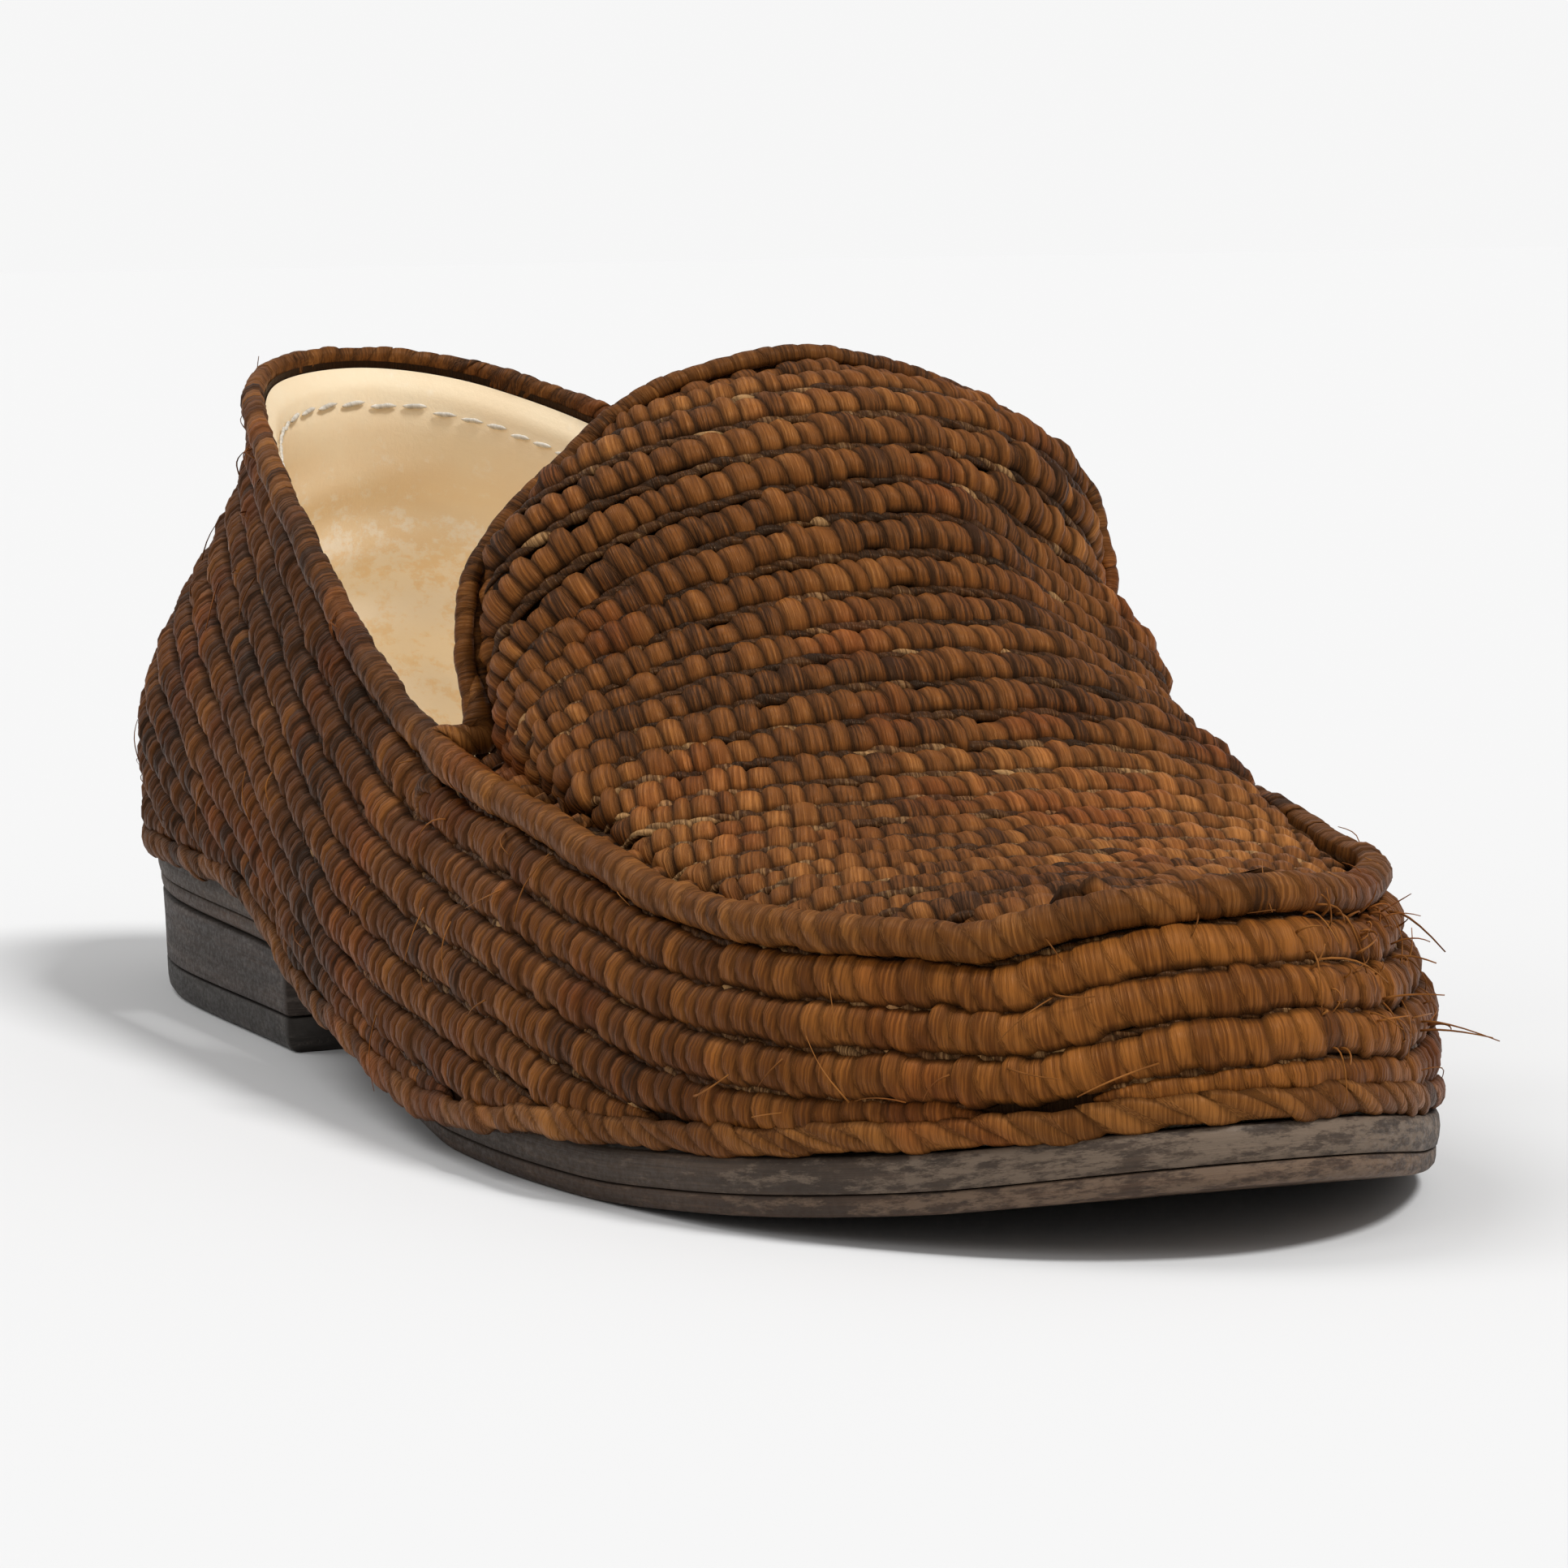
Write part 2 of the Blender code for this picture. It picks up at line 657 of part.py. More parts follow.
def build_tongue_edge(skin, start, end):
    """The rounded free edge of the tongue between the cords at the two throats."""
    stations = [start]
    length = TONGUE_PATH[-1]
    distances = np.linspace(0, length, TONGUE_STATIONS + 1)
    distances[[0, -1]] = EDGE_START, length - EDGE_START
    for distance in distances:
        point = tongue_point(distance)
        run = unit(tongue_point(distance + 0.5) - tongue_point(distance - 0.5))
        inward = tongue_inward(distance)
        inward = unit(inward - (inward @ run) * run)
        outward = np.cross(inward, run)
        inside = inward * EDGE_CORD
        rim = -inward * EDGE_CORD
        stations.append(skin.add_all([
            point + inside + outward * ROW_HEIGHT,
            point + rim + outward * EDGE_LIP,
            point + rim - outward * EDGE_CORD,
            point + inside - outward * WALL,
        ]))
    stations.append(end)
    for first, second in zip(stations, stations[1:]):
        skin.strip(first, second)
    return stations


def lace_vamp(skin, grid, rows, edge, seam):
    """Join a vamp sheet to the tongue's edge and to the seam all round it."""
    half = len(grid[0]) // 2
    throat = int(np.argmin([abs(row - THROAT_ROW) for row in rows]))
    top = len(edge) // 2
    toe = len(seam) // 2
    medial = [line[0] for line in grid]
    lateral = [line[-1] for line in grid]
    skin.lace(grid[0][half::-1] + medial[1:throat + 1], edge[top::-1])
    skin.lace(grid[0][half:] + lateral[1:throat + 1], edge[top:])
    skin.lace(medial[throat:] + grid[-1][1:half + 1], seam[:toe + 1])
    skin.lace(lateral[throat:] + grid[-1][-2:half - 1:-1], seam[:toe - 1:-1])


def build_upper(collection):
    skin = Skin()
    turns = np.concatenate([
        np.linspace(0, THROAT_TURN, HEEL_COLUMNS + 1),
        np.linspace(THROAT_TURN, 1, TOE_COLUMNS + 1)[1:],
    ])
    medial = [build_wall(skin, turn, "medial") for turn in turns]
    lateral = [build_wall(skin, turn, "lateral") for turn in turns[1:-1]]
    columns = medial + lateral[::-1]
    ring = columns + columns[:1]
    for column, following in zip(ring, ring[1:]):
        skin.strip(column["outer"], following["outer"])
        skin.strip(column["inner"], following["inner"])
        skin.strip(column["cord"][:SEAM_ANGLES], following["cord"][:SEAM_ANGLES])
        skin.face(column["outer"][0], following["outer"][0], following["cord"][0], column["cord"][0])
        skin.face(column["outer"][-1], following["outer"][-1], following["inner"][-1], column["inner"][-1])
        if len(column["cord"]) == len(following["cord"]) == len(CORD_ANGLES):
            skin.strip(over_the_collar(column), over_the_collar(following))

    last = len(columns)
    seam = columns[HEEL_COLUMNS:last - HEEL_COLUMNS + 1]
    edge = build_tongue_edge(skin, over_the_collar(seam[0]), over_the_collar(seam[-1]))

    outer_rows = np.arange(OUTER_START, VAMP_ROWS - 0.5, 0.5)
    heights = np.where(outer_rows % 1 == 0.5, ROW_HEIGHT, 0.0)
    sheet = build_vamp(skin, outer_rows, heights, OUTER_REACH)
    cord_line = [over_the_collar(column)[0] for column in seam]
    lace_vamp(skin, sheet, outer_rows, [line[0] for line in edge], cord_line)

    inner_rows = np.arange(INNER_START, VAMP_ROWS)
    sheet = build_vamp(skin, inner_rows, np.full(len(inner_rows), -WALL), INNER_REACH)
    lace_vamp(skin, sheet, inner_rows, [line[3] for line in edge], [column["inner"][0] for column in seam])
    return make_object("upper", skin, collection)


# Assembly

def centre(pieces):
    """Move the meshes so that the origin is under the middle of the shoe, on the floor."""
    corners = np.array([vertex.co[:] for piece in pieces for vertex in piece.data.vertices])
    low, high = corners.min(0), corners.max(0)
    shift = -(low + high) / 2
    shift[2] = 0
    for piece in pieces:
        for vertex in piece.data.vertices:
            vertex.co = vertex.co[0] + shift[0], vertex.co[1] + shift[1], vertex.co[2]


def build():
    for old in list(bpy.data.objects):
        bpy.data.objects.remove(old)
    collection = bpy.data.collections.new(OBJECT_NAME)
    bpy.context.scene.collection.children.link(collection)

    pieces = [
        build_upper(collection),
        sole_piece("insole", levels(INSOLE_EDGE, SOLE_TOP + GAP), collection),
        sole_piece("midsole", levels(MIDSOLE_EDGE, OUTSOLE + GAP), collection),
        sole_piece("outsole", levels(OUTSOLE_EDGE, 0), collection),
        heel_piece("heel_stack", STACK_EDGE, TOP_PIECE + GAP, collection),
        heel_piece("heel_top_piece", TOP_PIECE_EDGE, 0, collection),
    ]
    centre(pieces)


build()
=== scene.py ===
import json
import math

import bmesh
import bpy
import numpy as np
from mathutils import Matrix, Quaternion, Vector

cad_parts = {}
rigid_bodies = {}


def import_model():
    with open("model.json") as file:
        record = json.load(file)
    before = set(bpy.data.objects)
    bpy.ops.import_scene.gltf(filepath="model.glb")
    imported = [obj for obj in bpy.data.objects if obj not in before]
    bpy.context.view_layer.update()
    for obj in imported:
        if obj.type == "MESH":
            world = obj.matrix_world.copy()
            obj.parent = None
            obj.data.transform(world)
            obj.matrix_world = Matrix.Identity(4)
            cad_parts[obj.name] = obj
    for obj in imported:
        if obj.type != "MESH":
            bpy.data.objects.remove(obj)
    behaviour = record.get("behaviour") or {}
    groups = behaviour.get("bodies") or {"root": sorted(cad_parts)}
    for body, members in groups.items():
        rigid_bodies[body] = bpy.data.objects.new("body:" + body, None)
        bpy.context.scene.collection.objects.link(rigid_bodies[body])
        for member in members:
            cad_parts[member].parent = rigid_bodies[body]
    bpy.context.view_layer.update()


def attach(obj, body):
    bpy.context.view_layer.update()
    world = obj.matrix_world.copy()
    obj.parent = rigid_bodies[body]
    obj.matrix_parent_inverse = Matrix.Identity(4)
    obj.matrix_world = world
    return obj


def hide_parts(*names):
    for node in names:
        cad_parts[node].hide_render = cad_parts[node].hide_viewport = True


for old in list(bpy.data.objects):
    bpy.data.objects.remove(old)

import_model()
mm = 0.001
rng = np.random.default_rng(38)


def table(names, *rows):
    return {name: np.array(column, float) for name, column in zip(names.split(), zip(*rows))}


# the shoe's form, in millimetres from the heel back: inner side negative, outer side positive
form = {
    "length": 270.0, "outsole": 2.0, "midsole": 3.4, "topPiece": 4.0, "heelStack": 7.0, "gap": 0.3,
    "breast": 93.5, "breastHollow": 1.5, "rowPitch": 4.6, "strand": 2.6, "firstRow": 2.25,
    "footInset": 1.2, "lip": 1.2, "hangTop": 0.45, "heelLean": (0.25, 0.9), "toeLean": 2.2,
    "toeLeanFrom": 70, "toeLeanOver": 90, "swellPower": 0.8, "seamStep": 4.0, "throat": 152.0,
    "tongueFoot": 153.4, "vampStart": 155.0, "vampRows": 25, "vampBow": 16.0, "rowSpread": 0.66,
    "hangRise": 6.0, "hangReach": 1.2, "steepRow": 30.0, "arch": 2.3, "topArch": 1.5, "outerLead": 18.0,
}
soleEdge = table(
    "along inner outer",
    (0, 0, 0), (12, -24, 19), (45, -33.4, 29.5), (95, -35.5, 31), (140, -40.5, 40), (185, -43, 45),
    (225, -38, 41), (255, -22.5, 26), (270, 2, 2),
)
soleLow = table(
    "along height",
    (0, 13.6), (47, 12.6), (94, 11.6), (115, 8), (140, 4.6), (160, 1.2), (173, 0), (206, 0), (228, 1.2),
    (250, 3.4), (270, 7.2),
)
topLine = table(
    "along inner outer innerHeight outerHeight",
    (12, 2, 2, 78, 78), (23, -13.5, 18.5, 76, 75), (50, -22.2, 28, 69.6, 67.5),
    (85, -28.7, 30.5, 59.6, 56.5), (120, -32.5, 33, 46.8, 45), (150, -34, 37, 38.4, 36.5),
    (185, -36, 39.5, 34.6, 34.3), (225, -32.5, 33.8, 28.8, 30.5), (252, -20, 19.5, 28.4, 30.5),
    (262, 2, 2, 32.2, 32.2),
)
hangOver = table(
    "along spread drop",
    (20, 0, 0), (40, 1, 0), (75, 1, 0), (88, 1, 0.6), (98, 1, 2.8), (112, 1, 4.2), (130, 1, 3.8),
    (160, 1, 3), (185, 1, 2), (203, 1, 0), (225, 0, 0),
)
sideSwell = table("along swell", (0, 1.5), (45, 2.5), (100, 4.0), (150, 2.5), (200, 1.0), (270, 0.4))
ridge = table(
    "along height across",
    (146, 79.3, 8.5), (155, 77, 8.5), (163, 72, 8.5), (172, 63.5, 8), (180, 55.5, 7), (190, 49, 5.5),
    (203, 40.5, 4), (212, 37, 3.3), (224, 34.3, 2.6), (238, 32.8, 2), (262, 32.2, 2),
)
vampReach = table(
    "along inner outer",
    (152, -32.5, 44), (165, -33.5, 42.5), (180, -34, 37.5), (200, -33, 38.4), (215, -30.5, 37),
    (262, 0, 0),
)
tongue = table(
    "height along halfWidth shift",
    (79.3, 146, 0, 8.5), (77, 145, 12.5, 8.5), (73, 144, 21.5, 9.5), (68, 144, 28.5, 10.5),
    (62, 145, 34.3, 9.3), (55, 147.5, 37, 7), (49, 150, 36, 5), (43, 152.5, 33.2, 2.2),
)
origin = np.array([134.486, 0.390, 0.0])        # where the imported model's origin lies on the form


# a curve through a table that never overshoots its points
def smooth(x, xs, ys):
    x = np.clip(np.asarray(x, float), xs[0], xs[-1])
    step = np.diff(xs)
    slope = np.diff(ys) / step
    grade = np.zeros(len(xs))
    grade[0], grade[-1] = slope[0], slope[-1]
    same = slope[:-1] * slope[1:] > 0
    near, far = slope[:-1][same], slope[1:][same]
    grade[1:-1][same] = 2 * near * far / (near + far)
    i = np.clip(np.searchsorted(xs, x, side="right") - 1, 0, len(xs) - 2)
    t = (x - xs[i]) / step[i]
    start = ys[i] * (1 + 2 * t) * (1 - t) ** 2 + grade[i] * step[i] * t * (1 - t) ** 2
    return start + ys[i + 1] * t * t * (3 - 2 * t) + grade[i + 1] * step[i] * t * t * (t - 1)


def unit(v):
    return v / np.maximum(np.linalg.norm(v, axis=-1, keepdims=True), 1e-9)


def pathLengths(points):
    return np.concatenate([[0], np.cumsum(np.linalg.norm(np.diff(points, axis=0), axis=1))])


def alongPath(points, distances, at):
    return np.stack([np.interp(at, distances, points[:, k]) for k in range(points.shape[1])], -1)


def softStep(x, low, high):
    t = np.clip((x - low) / (high - low), 0, 1)
    return t * t * (3 - 2 * t)


# a turn runs from 0 at the heel back to 1 at the toe tip, on either side
def turnToAlong(turn, back, front):
    return back + (front - back) * (1 - np.cos(np.pi * turn)) / 2


def alongToTurn(along, back, front):
    return np.arccos(1 - 2 * np.clip((np.asarray(along, float) - back) / (front - back), 0, 1)) / np.pi


soleTurns = alongToTurn(soleEdge["along"], 0, form["length"])
topBack, topFront = topLine["along"][0], topLine["along"][-1]
topTurns = alongToTurn(topLine["along"], topBack, topFront)
throatTurn = float(alongToTurn(form["throat"], topBack, topFront))
soleTop = form["outsole"] + form["gap"] + form["midsole"]


def edgePoint(turn, side):
    return np.stack([turnToAlong(turn, 0, form["length"]), smooth(turn, soleTurns, soleEdge[side])], -1)


def edgeOutward(turn, side):
    reach = 0.004
    run = edgePoint(np.minimum(turn + reach, 1), side) - edgePoint(np.maximum(turn - reach, 0), side)
    across = 1 if side == "outer" else -1
    out = unit(across * np.stack([-run[..., 1], run[..., 0]], -1))
    out[turn <= 0] = (-1, 0)
    out[turn >= 1] = (1, 0)
    return out


def solePoint(turn, side, inset, lift):
    flat = edgePoint(turn, side) - np.asarray(inset)[..., None] * edgeOutward(turn, side)
    height = smooth(flat[..., 0], soleLow["along"], soleLow["height"]) + lift
    return np.stack([flat[..., 0], flat[..., 1], height], -1)


def topPoint(turn, side):
    along = turnToAlong(turn, topBack, topFront)
    height = smooth(along, topLine["along"], topLine[side + "Height"])
    return np.stack([along, smooth(turn, topTurns, topLine[side]), height], -1)


def wallPoint(turn, side, rise):
    foot = solePoint(turn, side, form["footInset"] + 0 * turn, soleTop + form["gap"])
    head = topPoint(turn, side)
    heelLean = softStep(rise, *form["heelLean"])
    toeShare = np.clip((foot[..., 0] - form["toeLeanFrom"]) / form["toeLeanOver"], 0, 1)
    lean = heelLean + (rise ** form["toeLean"] - heelLean) * toeShare
    point = foot + (head - foot) * np.stack([lean, lean, rise], -1)
    bulge = np.sin(np.pi * rise ** form["swellPower"])
    swell = smooth(foot[..., 0], sideSwell["along"], sideSwell["swell"]) * bulge
    point[..., :2] += edgeOutward(turn, side) * swell[..., None]
    if side == "inner":
        along = turnToAlong(turn, 0, form["length"])
        share = np.clip(1 - rise / form["hangTop"], 0, 1) ** 2
        spread = np.interp(along, hangOver["along"], hangOver["spread"])
        spread = share * spread * (form["footInset"] + form["gap"] + form["lip"])
        point[..., :2] += edgeOutward(turn, side) * spread[..., None]
        point[..., 2] -= share * np.interp(along, hangOver["along"], hangOver["drop"])
    return point


# the ring coordinate runs from -1 at the toe round the inner side to 0 at the heel, and on to 1 at the toe
def onRing(ring, sideFunction):
    turn = np.abs(ring)
    return np.where((ring < 0)[..., None], sideFunction(turn, "inner"), sideFunction(turn, "outer"))


ringSteps, riseSteps = 721, 61
ringLine = np.linspace(-1, 1, ringSteps)
riseLine = np.linspace(1, 0, riseSteps)
ringGrid, riseGrid = np.meshgrid(ringLine, riseLine, indexing="ij")
wallGrid = onRing(ringGrid, lambda turn, side: wallPoint(turn, side, riseGrid))
runGrid = np.gradient(wallGrid, axis=0)
runGrid[[0, -1]] = (wallGrid[[1, 1]] - wallGrid[[-2, -2]]) / 2
downGrid = np.gradient(wallGrid, axis=1)
outGrid = unit(np.cross(runGrid, -downGrid))
flatOut = onRing(ringGrid, edgeOutward)
outGrid *= np.sign((outGrid[..., :2] * flatOut).sum(-1))[..., None]
depthGrid = np.concatenate(
    [np.zeros((ringSteps, 1)), np.cumsum(np.linalg.norm(np.diff(wallGrid, axis=1), axis=2), axis=1)], axis=1)
wallDepth = depthGrid[:, -1]


def wallAt(columns, depth):
    points = np.empty((len(columns), 3))
    outward = np.empty((len(columns), 3))
    for n, (column, down) in enumerate(zip(columns, np.broadcast_to(depth, len(columns)))):
        for k in range(3):
            points[n, k] = np.interp(down, depthGrid[column], wallGrid[column, :, k])
            outward[n, k] = np.interp(down, depthGrid[column], outGrid[column, :, k])
    return points, unit(outward)


def seamFoot(turn, side):
    head = topPoint(turn, side)
    head[..., :2] -= form["seamStep"] * edgeOutward(turn, side)
    return head


def topTurn(along):
    return alongToTurn(along, topBack, topFront)


def topAt(along, side):
    return topPoint(np.array([topTurn(along)]), side)[0]


def tongueLine():
    sides = []
    for side, across in (("inner", -1), ("outer", 1)):
        reach = tongue["shift"] + across * tongue["halfWidth"]
        points = np.stack([tongue["along"], reach, tongue["height"]], 1)
        sides.append(np.vstack([points, seamFoot(np.array([topTurn(form["tongueFoot"])]), side)]))
    return np.vstack([sides[0][::-1], sides[1][1:]])


tonguePoints = tongueLine()
tonguePath = pathLengths(tonguePoints)
tongueTop = tonguePath[len(tonguePoints) // 2]


def tonguePoint(distance):
    return np.stack([smooth(distance, tonguePath, tonguePoints[:, k]) for k in range(3)], -1)


ridgeSamples = np.linspace(ridge["along"][0], ridge["along"][-1], 200)
ridgePath = pathLengths(np.stack([ridgeSamples, smooth(ridgeSamples, ridge["along"], ridge["height"])], 1))


def ridgeAlong(row):
    return np.interp(row / form["vampRows"] * ridgePath[-1], ridgePath, ridgeSamples)


def rowEndAlong(row, side):
    along = ridgeAlong(row)
    start = form["vampStart"] + form["vampBow"]
    end = along - form["vampBow"] * (1 - max(0.0, (along - start) / (topFront - start)) ** 2)
    lead = form["outerLead"] if side == "outer" else 0
    share = np.clip((end - form["vampStart"]) / (topFront - form["vampStart"]), 0, 1)
    return end + lead * np.sin(np.pi * share)


rowsSampled = np.linspace(0, form["vampRows"], 400)
innerEnds = [rowEndAlong(row, "inner") for row in rowsSampled]
throatRow = float(np.interp(form["vampStart"], innerEnds, rowsSampled))      # from here rows end at the seam


def rowEnd(row, side):
    if row < throatRow:
        part = (row / throatRow) ** form["rowSpread"]
        far = 0 if side == "inner" else tonguePath[-1]
        return tonguePoint(tongueTop + (far - tongueTop) * part)
    return seamFoot(np.array([topTurn(rowEndAlong(row, side))]), side)[0]


# part 0 is the end of a row at the seam or the tongue's edge, part 1 its middle
def vampPoint(row, side, part):
    row = float(np.clip(row, 0, form["vampRows"]))
    end = rowEnd(row, side)
    along = ridgeAlong(row)
    middle = np.array([along, smooth(along, ridge["along"], ridge["across"]),
                       smooth(along, ridge["along"], ridge["height"])])
    arch = np.interp(row, (0, throatRow), (form["topArch"], form["arch"]))
    inward = np.cos(part * np.pi / 2) ** (2 / arch)
    upward = np.sin(part * np.pi / 2) ** (2 / arch)
    rise = middle[2] - end[2]
    steep = np.clip(rise / form["steepRow"], 0, 1)
    forward = 1 - inward ** 2 + (upward - 1 + inward ** 2) * steep
    point = end + (middle - end) * np.stack([forward, 1 - inward, upward], -1)
    reach = smooth(rowEndAlong(row, side), vampReach["along"], vampReach[side])
    hang = np.clip(abs(reach) - abs(end[1]), 0, (rise / form["hangRise"]) ** 2)
    hang = hang * np.clip(2 * row / throatRow - 1, 0, 1)
    across = 1 if side == "outer" else -1
    point[..., 1] += across * hang * np.sin(np.pi * np.minimum(form["hangReach"] * upward, 1)) ** 2
    return point


def vampLine(row, samples=70, start=0.02):
    parts = np.sin(np.linspace(start, 1, samples) * np.pi / 2)
    inner = vampPoint(row, "inner", parts)
    outer = vampPoint(row, "outer", parts)
    return np.vstack([inner, outer[-2::-1]])


def vampRow(row, samples=70, nudge=0.15):
    line = vampLine(row, samples)
    run = vampLine(min(row + nudge, form["vampRows"]), samples) - vampLine(max(row - nudge, 0), samples)
    return line, unit(np.cross(run, np.gradient(line, axis=0)))


print("form: throat row %.1f, wall depth %.0f to %.0f mm" % (throatRow, wallDepth.min(), wallDepth.max()))


# meshes: grids of points with the lay of the strand, a tone for each wrap and a mask that paints shade into
# the raffia's crevices and draws the dark line where leather layers meet
def newStore():
    return {"points": [], "faces": [], "lay": [], "tone": [], "crease": [], "count": 0}


def addGrid(store, points, lay, tone, crease, ringA=False, ringB=False, capEnds=False):
    points = np.asarray(points)
    a, b = points.shape[:2]
    index = np.arange(a * b).reshape(a, b) + store["count"]
    first, second = (index, np.roll(index, -1, 0)) if ringA else (index[:-1], index[1:])
    if ringB:
        quads = np.stack([first, second, np.roll(second, -1, 1), np.roll(first, -1, 1)], -1)
    else:
        quads = np.stack([first[:, :-1], second[:, :-1], second[:, 1:], first[:, 1:]], -1)
    store["points"].append(points.reshape(-1, 3))
    store["faces"].append(quads.reshape(-1, 4))
    if capEnds:
        k = np.arange(b // 2 - 1)
        cap = np.stack([k, k + 1, b - 2 - k, b - 1 - k], -1)
        store["faces"] += [index[0][cap], index[-1][cap[:, ::-1]]]
    store["lay"].append(np.broadcast_to(lay, (a, b, 3)).reshape(-1, 3))
    store["tone"].append(np.broadcast_to(tone, (a, b)).ravel())
    store["crease"].append(np.broadcast_to(crease, (a, b)).ravel())
    store["count"] += a * b


def addToScene(thing):
    bpy.context.scene.collection.objects.link(thing)


def buildPiece(name, store, material, replaced, weld=False):
    points = (np.vstack(store["points"]) - origin) * mm
    faces = np.vstack(store["faces"])
    mesh = bpy.data.meshes.new(name)
    mesh.vertices.add(len(points))
    mesh.vertices.foreach_set("co", points.astype(np.float32).ravel())
    mesh.loops.add(faces.size)
    mesh.loops.foreach_set("vertex_index", faces.astype(np.int32).ravel())
    mesh.polygons.add(len(faces))
    mesh.polygons.foreach_set("loop_start", np.arange(0, faces.size, 4, dtype=np.int32))
    mesh.polygons.foreach_set("use_smooth", np.ones(len(faces), bool))
    mesh.update(calc_edges=True)
    lay = mesh.attributes.new("lay", "FLOAT_VECTOR", "POINT")
    lay.data.foreach_set("vector", np.vstack(store["lay"]).astype(np.float32).ravel())
    for key in ("tone", "crease"):
        attribute = mesh.attributes.new(key, "FLOAT", "POINT")
        attribute.data.foreach_set("value", np.concatenate(store[key]).astype(np.float32))
    work = bmesh.new()
    work.from_mesh(mesh)
    if weld:
        bmesh.ops.remove_doubles(work, verts=work.verts, dist=1e-6)
    bmesh.ops.recalc_face_normals(work, faces=work.faces)
    work.to_mesh(mesh)
    work.free()
    piece = bpy.data.objects.new(name, mesh)
    addToScene(piece)
    mesh.materials.append(material)
    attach(piece, "root")
    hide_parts(replaced)
    print("%s: %d faces" % (name, len(mesh.polygons)))
    return piece


# one wrap has four stations: the crease, its two shoulders and the crown
phases = np.array([0, 0.17, 0.47, 0.8])
phaseDips = np.array([1, 0.28, 0, 0.3])
sectionAngles = np.radians([-105, -75, -45, -15, 15, 45, 75, 105, 150, 210])
layAngles = np.where(sectionAngles > np.pi, sectionAngles - 2 * np.pi, sectionAngles)
# a wrapped cord, in millimetres; each cord of the shoe changes what differs
plainCord = {
    "wrap": 2.4, "halfWidth": 2.0, "halfHeight": 2.0, "sink": 0.0, "crease": 0.12, "creaseShade": 0.45,
    "valleyShade": 0.0, "slant": 0.5, "curl": 0.0, "jitter": 0.04, "gap": 0.08, "endTaper": 3.0,
    "wander": 0.1, "glintFleck": 0.0, "tone": 0.0,
}
# how much the wraps of any cord vary
wrapHabit = {
    "widths": (0.72, 1.28), "sizes": (0.75, 1.25), "shade": 0.5, "shadeSpread": 0.19, "glintFleckShade": 1.25,
    "slantSpread": 0.35, "creaseHold": 0.6, "endSize": 0.3, "endPower": 0.6, "flatBack": 0.6,
    "valley": (0.66, 1.0), "layStep": 7.3, "waves": (41.0, 23.0, 13.0), "waveSpread": (0.8, 1.2),
}


def unevenness(along, total, amount):
    waves = np.zeros(len(along))
    for length in wrapHabit["waves"]:
        turns = max(1, round(total / length * rng.uniform(*wrapHabit["waveSpread"])))
        waves += np.sin(2 * np.pi * (turns * along / total + rng.random()))
    return amount * waves / 2


